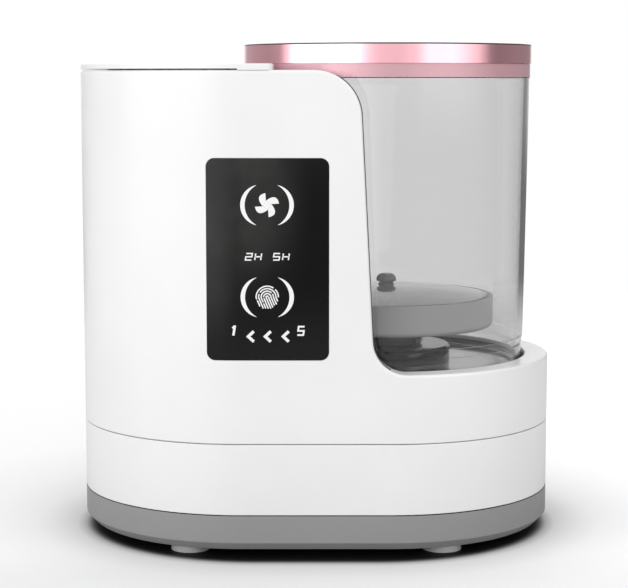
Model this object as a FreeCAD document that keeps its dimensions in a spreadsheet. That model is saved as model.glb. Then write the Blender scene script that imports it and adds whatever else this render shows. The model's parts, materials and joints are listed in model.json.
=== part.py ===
import FreeCAD, Part
import math
import os
import re

import Sketcher
from FreeCAD import Placement, Rotation, Vector

# Countertop warm-air chamber dryer. Millimetres, +Z up, +X towards the jar, front face at -Y.
# The origin is on the floor, under the middle of the housing.

DIMENSIONS = {
    # Plan of the housing: a stadium, two half circles joined by straight sides.
    "end_radius": 74.5,
    "half_flat": 32.5,
    "wall": 2.5,
    "inner_radius": 72.0,
    "jar_x": 32.5,
    # Levels of the housing.
    "base_under": 3.0,
    "base_top": 18.5,
    "base_chamfer": 3.5,
    "base_skin": 3.0,
    "base_inner_radius": 70.0,
    "lip_radius": 71.8,
    "lip_inner_radius": 69.8,
    "base_lip_top": 21.5,
    "seam_low": 49.3,
    "seam_high": 49.65,
    "lip_bottom": 44.0,
    "lip_top": 52.5,
    "collar_top": 79.3,
    "tower_top": 208.0,
    "tower_roof": 2.5,
    # Front outline of the tower, which leans over the jar well.
    "tower_edge_high_x": 18.05,
    "tower_edge_low_x": 24.7,
    "tower_corner": 20.0,
    "tower_root": 15.0,
    "edge_round": 1.2,
    "seam_round": 0.4,
    "mouth_round": 0.6,
    # Jar well.
    "well_radius": 64.0,
    "well_mouth_radius": 66.0,
    "well_ledge": 62.0,
    "well_ledge_under": 60.0,
    "well_ledge_radius": 55.0,
    "collar_core_radius": 66.5,
    "recess_core_radius": 68.5,
    "tower_cavity_x": 15.0,
    "tower_cavity_top": 188.0,
    "tower_attic_x": -5.0,
    # Long screws that hold base, band and top together.
    "screw_distance": 63.5,
    "screw_angle": 40.0,
    "boss_radius": 4.3,
    "screw_radius": 1.75,
    "screw_bore": 1.8,
    "screw_clearance": 2.2,
    "screw_head_radius": 3.6,
    "screw_head_seat": 10.0,
    "screw_head_height": 2.4,
    "counterbore_radius": 4.0,
    "screw_tip": 59.0,
    "top_boss_low": 52.8,
    "rib": 3.0,
    # Rubber feet.
    "foot_x": 55.0,
    "foot_y": 57.5,
    "foot_radius": 8.5,
    "foot_plug_radius": 3.0,
    "foot_bore": 3.1,
    "foot_plug_top": 6.6,
    # Top cover plate.
    "cover_under": 208.6,
    "cover_top": 210.7,
    "cover_right": -18.3,
    "cover_pad_left": -33.0,
    "cover_recess_radius": 66.8,
    "cover_corner": 3.0,
    "cover_round": 0.5,
    "cover_support": 12.0,
    "cover_tab_radius": 2.6,
    "cover_tab_bore": 2.7,
    "cover_tab_low": 203.5,
    # Touch panel on the front.
    "panel_left": -46.3,
    "panel_right": 5.3,
    "panel_low": 85.9,
    "panel_high": 171.3,
    "panel_corner": 3.5,
    "panel_back_radius": 73.0,
    "panel_gap": 0.15,
    "gasket_back_radius": 72.7,
    "gasket_width": 3.5,
    "window_margin": 5.2,
    # Control board behind the panel.
    "board_left": -44.0,
    "board_right": 3.0,
    "board_low": 80.0,
    "board_high": 177.0,
    "board_front_y": -69.4,
    "board_back_y": -67.8,
    "board_screw_left": -40.0,
    "board_screw_right": -1.0,
    "board_screw_low": 82.8,
    "board_screw_high": 174.2,
    "standoff_radius": 3.0,
    "small_screw": 1.2,
    "small_bore": 1.25,
    "small_head": 2.3,
    "small_head_height": 1.4,
    "key_x": -20.7,
    "fan_key_height": 151.7,
    "touch_key_height": 112.8,
    "legend_height": 130.0,
    "speed_row_height": 97.0,
    "contact_radius": 2.2,
    "contact_bore": 1.6,
    # Power board and inlet at the back of the base.
    "power_half": 32.0,
    "power_front": 30.0,
    "power_back": 70.0,
    "power_low": 26.4,
    "power_high": 28.0,
    "inlet_x": -20.0,
    "inlet_height": 34.0,
    "inlet_half": 6.0,
    "inlet_front": 60.0,
    "inlet_back": 71.8,
    "inlet_hole": 4.5,
    "inlet_socket": 2.75,
    "inlet_depth": 9.5,
    "inlet_pin": 1.0,
    # Gear plate, motor and gears under the well.
    "plate_left": -42.0,
    "plate_right": 74.0,
    "plate_half": 44.0,
    "plate_low": 46.0,
    "plate_high": 49.0,
    "post_radius": 4.0,
    "post_left": -37.0,
    "post_right": 68.0,
    "post_y": 38.0,
    "tooth_module": 1.0,
    "gear_teeth": 80,
    "pinion_teeth": 16,
    "tooth_backlash": 0.16,
    "motor_x": -15.5,
    "motor_radius": 18.0,
    "motor_low": 14.0,
    "motor_boss_radius": 5.0,
    "motor_boss_bore": 5.1,
    "motor_boss_top": 48.6,
    "motor_shaft_radius": 1.5,
    "motor_shaft_bore": 1.57,
    "motor_shaft_top": 57.0,
    "motor_screw_y": 13.0,
    "gear_low": 50.2,
    "gear_high": 56.2,
    "gear_hub_radius": 9.0,
    "gear_hub_top": 59.6,
    "gear_bore": 4.0,
    "pinion_low": 49.8,
    "pinion_high": 56.6,
    "shaft_radius": 4.0,
    "shaft_low": 42.5,
    "shaft_top": 74.6,
    "bush_radius": 6.95,
    "bush_bore": 4.06,
    "bush_seat": 7.0,
    "bush_flange_radius": 9.0,
    "clip_low": 44.3,
    "clip_high": 45.2,
    "clip_groove": 3.2,
    "clip_radius": 6.5,
    # Jar seat, the floor of the well.
    "seat_radius": 63.7,
    "seat_top": 72.0,
    "seat_floor": 2.5,
    "seat_skirt_radius": 60.5,
    "seat_hub_radius": 12.0,
    "seat_ring_in": 50.0,
    "seat_ring_out": 54.0,
    "seat_ring_low": 71.2,
    "seat_screw_distance": 58.6,
    "seat_boss_radius": 3.4,
    # Dog coupling between the drive and the carrier.
    "dog_radius": 8.5,
    "dog_inner": 4.6,
    "dog_angle": 56.0,
    "dog_pitch": 120.0,
    "drive_disc_low": 72.5,
    "drive_disc_high": 75.2,
    "drive_dog_top": 77.8,
    "driven_dog_low": 75.5,
    "driven_disc_low": 78.1,
    "driven_disc_high": 80.3,
    # Jar: a glass-clear cup with a stepped foot and a rebated rim.
    "jar_bottom": 72.8,
    "jar_floor": 75.5,
    "jar_hole": 10.0,
    "jar_foot_radius": 62.3,
    "jar_foot_top": 84.0,
    "jar_step_radius": 62.95,
    "jar_step_top": 88.0,
    "jar_mouth_radius": 64.6,
    "jar_rebate": 204.6,
    "jar_rebate_radius": 63.6,
    "jar_top": 210.8,
    "jar_wall": 2.3,
    "jar_mouth_inner": 62.3,
    "jar_foot_round": 2.5,
    "jar_slot_low": 186.0,
    "jar_slot_high": 198.0,
    "jar_slot_width": 3.0,
    "jar_slot_count": 9,
    "jar_slot_step": 5.0,
    # Lower rim ring and lid.
    "ring_low": 205.0,
    "ring_high": 210.9,
    "ring_inner": 63.7,
    "ring_outer": 64.8,
    "lid_low": 211.05,
    "lid_radius": 65.3,
    "lid_bevel_low": 219.0,
    "lid_bevel_radius": 64.8,
    "lid_shoulder": 219.5,
    "lid_shelf": 218.0,
    "lid_shelf_radius": 46.0,
    "lid_plate_seat_radius": 54.3,
    "lid_under": 215.6,
    "lid_skirt_radius": 61.9,
    "lid_skirt_inner": 59.6,
    "lid_skirt_low": 205.6,
    "lid_seal_low": 207.6,
    "lid_seal_high": 209.6,
    "lid_seal_inner": 60.8,
    "lid_seal_outer": 62.2,
    "lid_plate_radius": 54.1,
    "lid_plate_edge": 219.4,
    "lid_plate_top": 220.2,
    "vent_count": 24,
    "vent_width": 2.2,
    "vent_inner": 21.0,
    "vent_outer": 43.0,
    # Pedestal, turntable hub and tray inside the jar.
    "pedestal_radius": 29.5,
    "pedestal_top": 82.8,
    "pedestal_cavity": 11.0,
    "pedestal_roof": 80.8,
    "spigot_radius": 8.0,
    "spigot_top": 90.0,
    "jar_bush_radius": 5.0,
    "jar_bush_bore": 3.06,
    "jar_bush_top": 90.1,
    "seal_inner": 14.0,
    "seal_outer": 16.5,
    "seal_top": 76.9,
    "carrier_shaft_radius": 3.0,
    "carrier_shaft_top": 103.0,
    "hub_radius": 17.0,
    "hub_low": 83.1,
    "hub_cavity": 8.6,
    "hub_cavity_top": 90.4,
    "tray_radius": 49.2,
    "tray_low": 91.7,
    "tray_floor": 94.0,
    "tray_top": 105.6,
    "tray_step": 104.0,
    "tray_inner": 45.2,
    "tray_rebate": 47.2,
    "tray_round": 2.2,
    "post_low_radius": 7.5,
    "post_top_radius": 4.0,
    "post_top": 107.4,
    "dome_radius": 46.9,
    "dome_low": 104.1,
    "dome_edge": 105.7,
    "dome_top": 110.0,
    "dome_skin": 1.6,
    "knob_radius": 4.6,
    "knob_foot_radius": 3.8,
    "knob_neck_radius": 3.0,
    "knob_neck_top": 111.2,
    "knob_brim": 111.8,
    "knob_round": 3.0,
    "knob_top": 115.2,
    # Fan, duct and heater in the tower.
    "fan_x": -67.0,
    "fan_half": 30.0,
    "fan_low": 130.0,
    "fan_high": 150.0,
    "fan_bore": 28.5,
    "fan_blade_radius": 27.4,
    "fan_hub_radius": 12.0,
    "fan_hub_low": 134.2,
    "fan_hub_high": 148.4,
    "fan_stator_radius": 11.0,
    "fan_stator_top": 133.6,
    "fan_arm_width": 4.0,
    "fan_arm_top": 133.0,
    "fan_hole_half": 25.0,
    "fan_hole": 2.1,
    "fan_blade_count": 7,
    "fan_blade_pitch": 42.0,
    "fan_blade_thickness": 1.5,
    "duct_low": 150.2,
    "duct_flange_top": 153.2,
    "duct_half_x": 28.0,
    "duct_half_y": 26.0,
    "duct_wall": 1.8,
    "duct_top": 201.0,
    "nozzle_x": -36.3,
    "nozzle_half": 25.0,
    "nozzle_low": 182.0,
    "nozzle_high": 200.0,
    "hanger_radius": 4.0,
    "outlet_half": 22.8,
    "outlet_low": 184.2,
    "outlet_high": 197.8,
    "outlet_front_radius": 66.2,
    "outlet_back_radius": 68.4,
    "outlet_slat_pitch": 4.6,
    "outlet_slat_gap": 3.0,
    "heater_low": 158.0,
    "heater_high": 170.0,
    "heater_fin": 0.8,
    "heater_fin_pitch": 3.4,
    "heater_fin_count": 14,
    "heater_bar": 2.6,
    "cutout_radius": 4.0,
    "cutout_height": 176.0,
    # Intake slots at the back of the tower, with a filter behind them.
    "intake_first": -58.0,
    "intake_pitch": 5.0,
    "intake_count": 11,
    "intake_width": 3.0,
    "intake_low": 70.0,
    "intake_high": 110.0,
    "filter_left": -59.6,
    "filter_right": -6.4,
    "filter_front": 60.8,
    "filter_back": 64.6,
    "filter_frame": 1.8,
    # Wires.
    "wire_radius": 1.3,
}

DOC = FreeCAD.newDocument("chamber_dryer")
SHEET = DOC.addObject("Spreadsheet::Sheet", "dims")
for row, (alias, value) in enumerate(DIMENSIONS.items(), start=1):
    SHEET.set(f"B{row}", str(value))
    SHEET.setAlias(f"B{row}", alias)
DOC.recompute()

WORD = re.compile(r"(?<![\w.])[a-z][a-z_0-9]*")
PARTS = []


# ---------------------------------------------------------------- helpers

def ex(text):
    """An expression in which each dimension's word is its cell of the sheet."""
    return WORD.sub(lambda m: f"dims.{m.group()}" if m.group() in DIMENSIONS else m.group(), str(text))


def num(text):
    """The number that such an expression gives."""
    return float(SHEET.evalExpression(ex(text)))


def bind(thing, prop, text):
    thing.setExpression(prop, ex(text))


def node(thing):
    """Counts an object as a sub-part of its own; its Label names its file."""
    PARTS.append(thing)
    return thing


def new_body(label):
    body = DOC.addObject("PartDesign::Body", label)
    body.Label = label
    return body


def new_sketch(body, name, role="XY_Plane", offset="0"):
    sketch = body.newObject("Sketcher::SketchObject", name)
    plane = next(item for item in body.Origin.OriginFeatures if item.Role == role)
    sketch.AttachmentSupport = (plane, "")
    sketch.MapMode = "FlatFace"
    bind(sketch, "AttachmentOffset.Base.z", offset)
    return sketch


def hold(sketch, kind, datum, *where):
    """A dimensional constraint, bound to the sheet."""
    index = sketch.addConstraint(Sketcher.Constraint(kind, *where, num(datum)))
    bind(sketch, f"Constraints[{index}]", datum)


def stadium(sketch, radius):
    """Two straight sides and two half circles, concentric with the housing."""
    reach, half = num(radius), num("half_flat")
    up = Vector(0, 0, 1)
    sketch.addGeometry(Part.LineSegment(Vector(-half, -reach, 0), Vector(half, -reach, 0)))
    sketch.addGeometry(Part.ArcOfCircle(
        Part.Circle(Vector(half, 0, 0), up, reach), -math.pi / 2, math.pi / 2,
    ))
    sketch.addGeometry(Part.LineSegment(Vector(half, reach, 0), Vector(-half, reach, 0)))
    sketch.addGeometry(Part.ArcOfCircle(
        Part.Circle(Vector(-half, 0, 0), up, reach), math.pi / 2, 3 * math.pi / 2,
    ))
    for side in range(4):
        sketch.addConstraint(Sketcher.Constraint("Tangent", side, 2, (side + 1) % 4, 1))
    for arc in (1, 3):
        sketch.addConstraint(Sketcher.Constraint("PointOnObject", arc, 3, -1))
    sketch.addConstraint(Sketcher.Constraint("Horizontal", 0))
    hold(sketch, "DistanceX", "half_flat", -1, 1, 1, 3)
    hold(sketch, "DistanceX", "half_flat", 3, 3, -1, 1)
    hold(sketch, "Radius", radius, 1)


def polygon(sketch, points):
    """A closed outline whose every corner is held by two expressions."""
    places = [Vector(num(across), num(along), 0) for across, along in points]
    count = len(places)
    for index in range(count):
        sketch.addGeometry(Part.LineSegment(places[index], places[(index + 1) % count]))
    for index, (across, along) in enumerate(points):
        sketch.addConstraint(Sketcher.Constraint("Coincident", index, 2, (index + 1) % count, 1))
        for kind, axis, datum in (("DistanceX", -2, across), ("DistanceY", -1, along)):
            if abs(num(datum)) < 1e-9:
                sketch.addConstraint(Sketcher.Constraint("PointOnObject", index, 1, axis))
            else:
                hold(sketch, kind, datum, -1, 1, index, 1)


def feature(body, kind, sketch):
    made = body.newObject(f"PartDesign::{kind}", f"{sketch.Name}_{kind.lower()}")
    made.Profile = sketch
    return made


def pad(body, sketch, length):
    made = feature(body, "Pad", sketch)
    bind(made, "Length", length)
    return made


def slab(label, radius, low, high):
    """A stadium prism between two levels."""
    body = new_body(label)
    sketch = new_sketch(body, f"{label}_plan", offset=low)
    stadium(sketch, radius)
    pad(body, sketch, f"({high}) - ({low})")
    return body


def turned(label, points, across="jar_x"):
    """A body of revolution about a vertical axis, from (radius, height) corners."""
    body = new_body(label)
    sketch = new_sketch(body, f"{label}_half", "XZ_Plane")
    polygon(sketch, points)
    made = feature(body, "Revolution", sketch)
    made.ReferenceAxis = (sketch, ["V_Axis"])
    made.Angle = 360
    bind(body, "Placement.Base.x", across)
    return body


def tube(label, inner, outer, low, high, across="jar_x"):
    return turned(label, [(inner, low), (outer, low), (outer, high), (inner, high)], across)


def round_edges(body, radius, chosen, kind="Fillet"):
    """Rounds or bevels the edges of a body's tip that a test picks."""
    DOC.recompute()
    tip = body.Tip
    names = [f"Edge{n}" for n, edge in enumerate(tip.Shape.Edges, start=1) if chosen(edge)]
    if not names:
        raise SystemExit(f"{body.Label}: no edge to round")
    made = body.newObject(f"PartDesign::{kind}", f"{body.Name}_{kind.lower()}")
    made.Base = (tip, names)
    bind(made, "Radius" if kind == "Fillet" else "Size", radius)
    return made


def circle_at(level, radius):
    """A test for circular edges of one radius at one level."""
    height, reach = num(level), num(radius)

    def chosen(edge):
        curve = edge.Curve
        if not isinstance(curve, Part.Circle):
            return False
        return abs(curve.Center.z - height) < 1e-3 and abs(curve.Radius - reach) < 1e-3
    return chosen


def block(label, x_range, y_range, z_range):
    made = DOC.addObject("Part::Box", label)
    sides = (("Length", "x", x_range), ("Width", "y", y_range), ("Height", "z", z_range))
    for size, axis, (low, high) in sides:
        bind(made, size, f"({high}) - ({low})")
        bind(made, f"Placement.Base.{axis}", low)
    return made


def rod(label, radius, low, high, across="jar_x", along="0"):
    """An upright cylinder."""
    made = DOC.addObject("Part::Cylinder", label)
    bind(made, "Radius", radius)
    bind(made, "Height", f"({high}) - ({low})")
    bind(made, "Placement.Base.x", across)
    bind(made, "Placement.Base.y", along)
    bind(made, "Placement.Base.z", low)
    return made


def rod_y(label, radius, low, high, across, level):
    """A cylinder that lies along Y."""
    made = DOC.addObject("Part::Cylinder", label)
    made.Placement = Placement(Vector(), Rotation(Vector(1, 0, 0), -90))
    bind(made, "Radius", radius)
    bind(made, "Height", f"({high}) - ({low})")
    bind(made, "Placement.Base.x", across)
    bind(made, "Placement.Base.y", low)
    bind(made, "Placement.Base.z", level)
    return made


def fuse(label, *shapes):
    made = DOC.addObject("Part::MultiFuse", label)
    made.Shapes = list(shapes)
    return made


def cut(label, base, *tools):
    made = DOC.addObject("Part::Cut", label)
    made.Base = base
    made.Tool = tools[0] if len(tools) == 1 else fuse(f"{label}_tools", *tools)
    return made


def common(label, *shapes):
    made = DOC.addObject("Part::MultiCommon", label)
    made.Shapes = list(shapes)
    return made


def group(label, members):
    """Separate solids that share one node."""
    made = DOC.addObject("Part::Compound", label)
    made.Links = list(members)
    return made


def turn(thing, angle, across="jar_x"):
    """Turns an object about an upright axis at y = 0. Its place stays bound to the sheet."""
    bound = {prop.lstrip("."): text for prop, text in thing.ExpressionEngine}
    reach, side = f"({bound['Placement.Base.x']} - {across})", f"({bound['Placement.Base.y']})"
    cosine, sine = f"cos({angle} * 1deg)", f"sin({angle} * 1deg)"
    thing.Placement.Rotation = Rotation(Vector(0, 0, 1), angle).multiply(thing.Placement.Rotation)
    bind(thing, "Placement.Base.x", f"{across} + {reach} * {cosine} - {side} * {sine}")
    bind(thing, "Placement.Base.y", f"{reach} * {sine} + {side} * {cosine}")
    return thing


# Places of the long housing screws, as (x, y) expressions.
SCREW_REACH_X = "half_flat + screw_distance * cos(screw_angle * 1deg)"
SCREW_REACH_Y = "screw_distance * sin(screw_angle * 1deg)"
CORNERS = [(sx, sy) for sx in (-1, 1) for sy in (-1, 1)]
HOUSING_SCREWS = [(f"{sx} * ({SCREW_REACH_X})", f"{sy} * {SCREW_REACH_Y}") for sx, sy in CORNERS]
FEET = [(f"{sx} * foot_x", f"{sy} * foot_y") for sx, sy in CORNERS]
POSTS = [(across, f"{sy} * post_y") for across in ("post_left", "post_right") for sy in (-1, 1)]


def rods(label, radius, low, high, places):
    return [rod(f"{label}_{n}", radius, low, high, *place) for n, place in enumerate(places, start=1)]


def ribs(label, low, high):
    """Webs from the four screw bosses out to the housing wall."""
    made = []
    for number, (sx, sy) in enumerate(CORNERS, start=1):
        web = DOC.addObject("Part::Box", f"{label}_{number}")
        angle = sy * num("screw_angle") if sx > 0 else 180 - sy * num("screw_angle")
        bind(web, "Length", "inner_radius - screw_distance + wall / 2")
        bind(web, "Width", "rib")
        bind(web, "Height", f"({high}) - ({low})")
        heading = Rotation(Vector(0, 0, 1), angle)
        start = heading.multVec(Vector(num("screw_distance"), -num("rib") / 2, 0))
        web.Placement = Placement(start + Vector(sx * num("half_flat"), 0, num(low)), heading)
        made.append(web)
    return made


# ---------------------------------------------------------------- housing shells

def base_tray():
    """Shallow grey tray with a bevelled foot, screw bosses and posts for both boards."""
    outer = slab("base_outer", "end_radius", "base_under", "base_top")
    bottom = num("base_under")
    round_edges(outer, "base_chamfer", lambda e: abs(e.BoundBox.ZMax - bottom) < 1e-3, "Chamfer")
    round_edges(outer, "seam_round", lambda e: e.BoundBox.ZLength < 1e-3)
    lip = slab("base_lip", "lip_radius", "base_top - 1", "base_lip_top")
    floor = "base_under + base_skin"
    hollow = slab("base_hollow", "base_inner_radius", floor, "base_lip_top + 1")
    shell = cut("base_shell", fuse("base_walls", outer, lip), hollow)
    bosses = rods("base_boss", "boss_radius + 1", "base_under + 1", "base_lip_top", HOUSING_SCREWS)
    posts = rods("plate_post", "post_radius", "base_under + 1", "plate_low", POSTS)
    board_posts = rods("board_post", "standoff_radius", "base_under + 1", "power_low", POWER_SCREWS)
    solid = fuse("base_solid", shell, *bosses, *posts, *board_posts)
    drills = rods("base_drill", "screw_clearance", "0", "base_lip_top + 1", HOUSING_SCREWS)
    bores = rods("base_counterbore", "counterbore_radius", "0", "screw_head_seat", HOUSING_SCREWS)
    sockets = rods("foot_socket", "foot_bore", "0", "base_lip_top", FEET)
    taps = rods("post_tap", "screw_bore", "plate_low - 12", "plate_low + 1", POSTS)
    board_taps = rods("board_tap", "small_bore", "power_low - 8", "power_low + 1", POWER_SCREWS)
    node(cut("base_tray", solid, *drills, *bores, *sockets, *taps, *board_taps))


def rubber_feet():
    feet = []
    for number, (across, along) in enumerate(FEET, start=1):
        pad_disc = rod(f"foot_pad_{number}", "foot_radius", "0", "base_under", across, along)
        plug = rod(
            f"foot_plug_{number}", "foot_plug_radius", "base_under - 1", "foot_plug_top", across, along,
        )
        feet.append(fuse(f"foot_{number}", pad_disc, plug))
    node(group("rubber_feet", feet))


def lower_housing():
    """White band between the tray and the seam, with a tongue that enters the top shell."""
    outer = slab("band_outer", "end_radius", "base_top", "seam_low")
    round_edges(outer, "seam_round", lambda e: e.BoundBox.ZLength < 1e-3)
    tongue = slab("band_tongue", "lip_radius", "seam_low - 1", "lip_top")
    hollow = slab("band_hollow", "inner_radius", "base_top - 1", "lip_bottom")
    throat = slab("band_throat", "lip_inner_radius", "lip_bottom - 1", "lip_top + 1")
    shell = cut("band_shell", fuse("band_walls", outer, tongue), hollow, throat)
    bosses = rods("band_boss", "boss_radius", "base_lip_top", "seam_low", HOUSING_SCREWS)
    solid = fuse("band_solid", shell, *bosses, *ribs("band_rib", "base_lip_top + 0.5", "lip_bottom"))
    drills = rods("band_drill", "screw_clearance", "base_top", "lip_top", HOUSING_SCREWS)
    inlet = rod_y(
        "band_inlet", "inlet_hole", "lip_inner_radius - 4", "end_radius + 2", "inlet_x", "inlet_height",
    )
    node(cut("lower_housing", solid, *drills, inlet))


def panel_prism(label, grow):
    """The touch panel's rounded rectangle, pushed through the front wall along Y."""
    body = new_body(label)
    sketch = new_sketch(body, f"{label}_outline", "XZ_Plane", "half_flat")
    left, right = f"panel_left - ({grow})", f"panel_right + ({grow})"
    low, high = f"panel_low - ({grow})", f"panel_high + ({grow})"
    polygon(sketch, [(left, low), (right, low), (right, high), (left, high)])
    pad(body, sketch, "end_radius")
    round_edges(body, f"panel_corner + ({grow})", lambda e: e.BoundBox.YLength > 10)
    return body


def shell_slice(label, inner, outer, low, high):
    """A thin wall that is parallel to the housing's outside."""
    core = slab(f"{label}_core", inner, f"({low}) - 1", f"({high}) + 1")
    return cut(label, slab(f"{label}_skin", outer, low, high), core)


def tower_cavity():
    """Everything hollow above the ledge: the collar's ring and the tower, round the well."""
    ring = slab("ring_void", "inner_radius", "well_ledge_under - 1", "collar_top - wall")
    tower = common(
        "tower_void",
        slab("tower_void_plan", "inner_radius", "collar_top - wall - 1", "tower_cavity_top"),
        block("tower_void_side", ("-120", "tower_cavity_x"), ("-90", "90"), ("70", "tower_cavity_top")),
    )
    attic = common(
        "attic_void",
        slab("attic_void_plan", "inner_radius", "tower_cavity_top - 1", "tower_top - tower_roof"),
        block("attic_void_side", ("-120", "tower_attic_x"), ("-90", "90"), ("180", "tower_top")),
    )
    collar_core = rod("collar_core", "collar_core_radius", "50", "collar_top - wall")
    recess_core = rod("recess_core", "recess_core_radius", "collar_top - wall - 0.5", "tower_top")
    return cut("cavity", fuse("cavity_parts", ring, tower, attic), collar_core, recess_core)


def upper_housing():
    """White top shell: tower, collar and jar well in one moulding."""
    body = new_body("top_outer")
    plan = new_sketch(body, "top_plan", offset="seam_high")
    stadium(plan, "end_radius")
    pad(body, plan, "tower_top - seam_high")
    side = new_sketch(body, "top_side", "XZ_Plane")
    beyond, above = "half_flat + end_radius + 5", "tower_top + 5"
    polygon(side, [
        ("tower_edge_high_x", "tower_top"), ("tower_edge_low_x", "collar_top"), (beyond, "collar_top"),
        (beyond, above), ("tower_edge_high_x", above),
    ])
    pocket = feature(body, "Pocket", side)
    pocket.Type = 1
    pocket.Midplane = True
    high_x, low_x = num("tower_edge_high_x"), num("tower_edge_low_x")

    def across_at(x):
        """A test for straight edges that run across the whole depth at that x."""
        def chosen(edge):
            box = edge.BoundBox
            return box.YLength > 100 and box.XLength < 1e-3 and abs(box.XMin - x) < 1e-2
        return chosen
    round_edges(body, "tower_corner", across_at(high_x))
    round_edges(body, "tower_root", across_at(low_x))
    seam = num("seam_high")

    def outline(edge):
        box = edge.BoundBox
        flat_across = box.XLength < 1e-3 and box.YLength > 100
        upright = box.XLength < 1e-3 and box.YLength < 1e-3
        return box.ZMin > seam + 1 and not flat_across and not upright
    round_edges(body, "edge_round", outline)
    round_edges(body, "seam_round", lambda e: abs(e.BoundBox.ZMax - seam) < 1e-3)
    well = body.newObject("PartDesign::SubtractiveCylinder", "well")
    bind(well, "Radius", "well_radius")
    bind(well, "Height", "collar_top + 1 - well_ledge")
    mouth = body.newObject("PartDesign::SubtractiveCone", "well_mouth")
    bind(mouth, "Radius1", "well_radius")
    bind(mouth, "Radius2", "well_mouth_radius")
    bind(mouth, "Height", "tower_top + 1 - collar_top")
    plane = next(item for item in body.Origin.OriginFeatures if item.Role == "XY_Plane")
    for made, level in ((well, "well_ledge"), (mouth, "collar_top")):
        made.AttachmentSupport = (plane, "")
        made.MapMode = "FlatFace"
        bind(made, "AttachmentOffset.Base.x", "jar_x")
        bind(made, "AttachmentOffset.Base.z", level)
    DOC.recompute()
    axis_x, rim = num("jar_x"), num("collar_top") - 1e-3

    def belongs_to_well(face):
        """Whether a face is the wall of the well or of its mouth."""
        wall = face.Surface
        if not isinstance(wall, (Part.Cone, Part.Cylinder)) or abs(wall.Axis.z) < 0.99:
            return False
        box = face.BoundBox
        whole_round = box.XMin < axis_x - num("well_radius") + 1
        return whole_round and abs(wall.Center.x - axis_x) < 1e-3 and box.ZMin > num("well_ledge") - 1
    walls = [face for face in body.Tip.Shape.Faces if belongs_to_well(face)]

    def well_rim(edge):
        """A test for edges where the well or its mouth meets the top, the rims or the collar."""
        owners = [face for face in walls if any(edge.isSame(other) for other in face.Edges)]
        return len(owners) == 1 and edge.BoundBox.ZMax > rim
    round_edges(body, "mouth_round", well_rim)

    skirt_void = slab("skirt_void", "inner_radius", "seam_high - 1", "well_ledge_under")
    ledge_hole = rod("ledge_hole", "well_ledge_radius", "well_ledge_under - 1", "well_ledge + 1")
    shell = cut("top_shell", body, skirt_void, tower_cavity(), ledge_hole)
    bosses = rods("top_boss", "boss_radius", "top_boss_low", "well_ledge_under + 1", HOUSING_SCREWS)
    stands = [
        rod_y(f"standoff_{n}", "standoff_radius", "-inner_radius - 0.5", "board_front_y", across, level)
        for n, (across, level) in enumerate(BOARD_SCREWS, start=1)
    ]
    webs = ribs("top_rib", "top_boss_low", "well_ledge_under + 1")
    solid = fuse("top_solid", shell, *bosses, *stands, *webs)

    drills = rods("top_drill", "screw_bore", "seam_high", "screw_tip + 0.6", HOUSING_SCREWS)
    taps = [
        rod_y(f"standoff_tap_{n}", "small_bore", "board_front_y - 2.4", "board_front_y + 1", across, level)
        for n, (across, level) in enumerate(BOARD_SCREWS, start=1)
    ]
    recess = common(
        "panel_recess",
        shell_slice("panel_recess_skin", "gasket_back_radius", "end_radius + 5", "panel_low - 5",
                    "panel_high + 5"),
        panel_prism("panel_recess_outline", "panel_gap"),
    )
    window = block(
        "panel_window", ("panel_left + window_margin", "panel_right - window_margin"),
        ("-end_radius - 2", "-inner_radius + 8"), ("panel_low + window_margin", "panel_high - window_margin"),
    )
    slots = []
    for number in range(int(num("intake_count"))):
        middle = f"intake_first + {number} * intake_pitch"
        slot = block(
            f"intake_slot_{number + 1}", (f"{middle} - intake_width / 2", f"{middle} + intake_width / 2"),
            ("inner_radius - 12", "end_radius + 2"), ("intake_low", "intake_high"),
        )
        slots.append(slot)
    outlet = block(
        "outlet_window", ("-60", "0"), ("-outlet_half - 0.1", "outlet_half + 0.1"),
        ("outlet_low - 0.1", "outlet_high + 0.1"),
    )
    seat_drills = rods(
        "seat_drill", "small_bore + 0.2", "well_ledge_under - 1", "well_ledge + 1", SEAT_SCREWS,
    )
    tabs = rods("tab_hole", "cover_tab_bore", "tower_top - tower_roof - 1", "tower_top + 1", COVER_TABS)
    node(cut("upper_housing", solid, *drills, *taps, recess, window, *slots, outlet, *seat_drills, *tabs))


def top_cover():
    """Thin plate on the tower. It stands 0.6 mm proud, on a pad and three tabs."""
    body = new_body("cover_blank")
    plan = new_sketch(body, "cover_plan", offset="tower_top")
    stadium(plan, "end_radius")
    pad(body, plan, "cover_top - tower_top")
    end = new_sketch(body, "cover_end", offset="tower_top")
    beyond, side = "half_flat + end_radius + 5", "end_radius + 5"
    polygon(
        end, [("cover_right", f"-({side})"), (beyond, f"-({side})"), (beyond, side), ("cover_right", side)],
    )
    pocket = feature(body, "Pocket", end)
    pocket.Type = 1
    pocket.Reversed = True
    right = num("cover_right")
    round_edges(
        body, "cover_corner", lambda e: e.BoundBox.ZLength > 1 and abs(e.BoundBox.XMin - right) < 1e-3,
    )
    top = num("cover_top")
    round_edges(body, "cover_round", lambda e: abs(e.BoundBox.ZMin - top) < 1e-3)
    left = block(
        "cover_gap_side", ("-120", "cover_pad_left"), ("-90", "90"), ("tower_top - 1", "cover_under"),
    )
    core = slab("cover_core", "end_radius - cover_support", "tower_top - 2", "cover_under + 1")
    tabs = rods("cover_tab", "cover_tab_radius", "cover_tab_low", "cover_under + 0.2", COVER_TABS)
    recess = rod("cover_recess", "cover_recess_radius", "200", "cover_top + 1")
    plate = cut("cover_plate", body, cut("cover_gap", left, core))
    node(cut("top_cover", fuse("cover_solid", plate, *tabs), recess))


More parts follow.
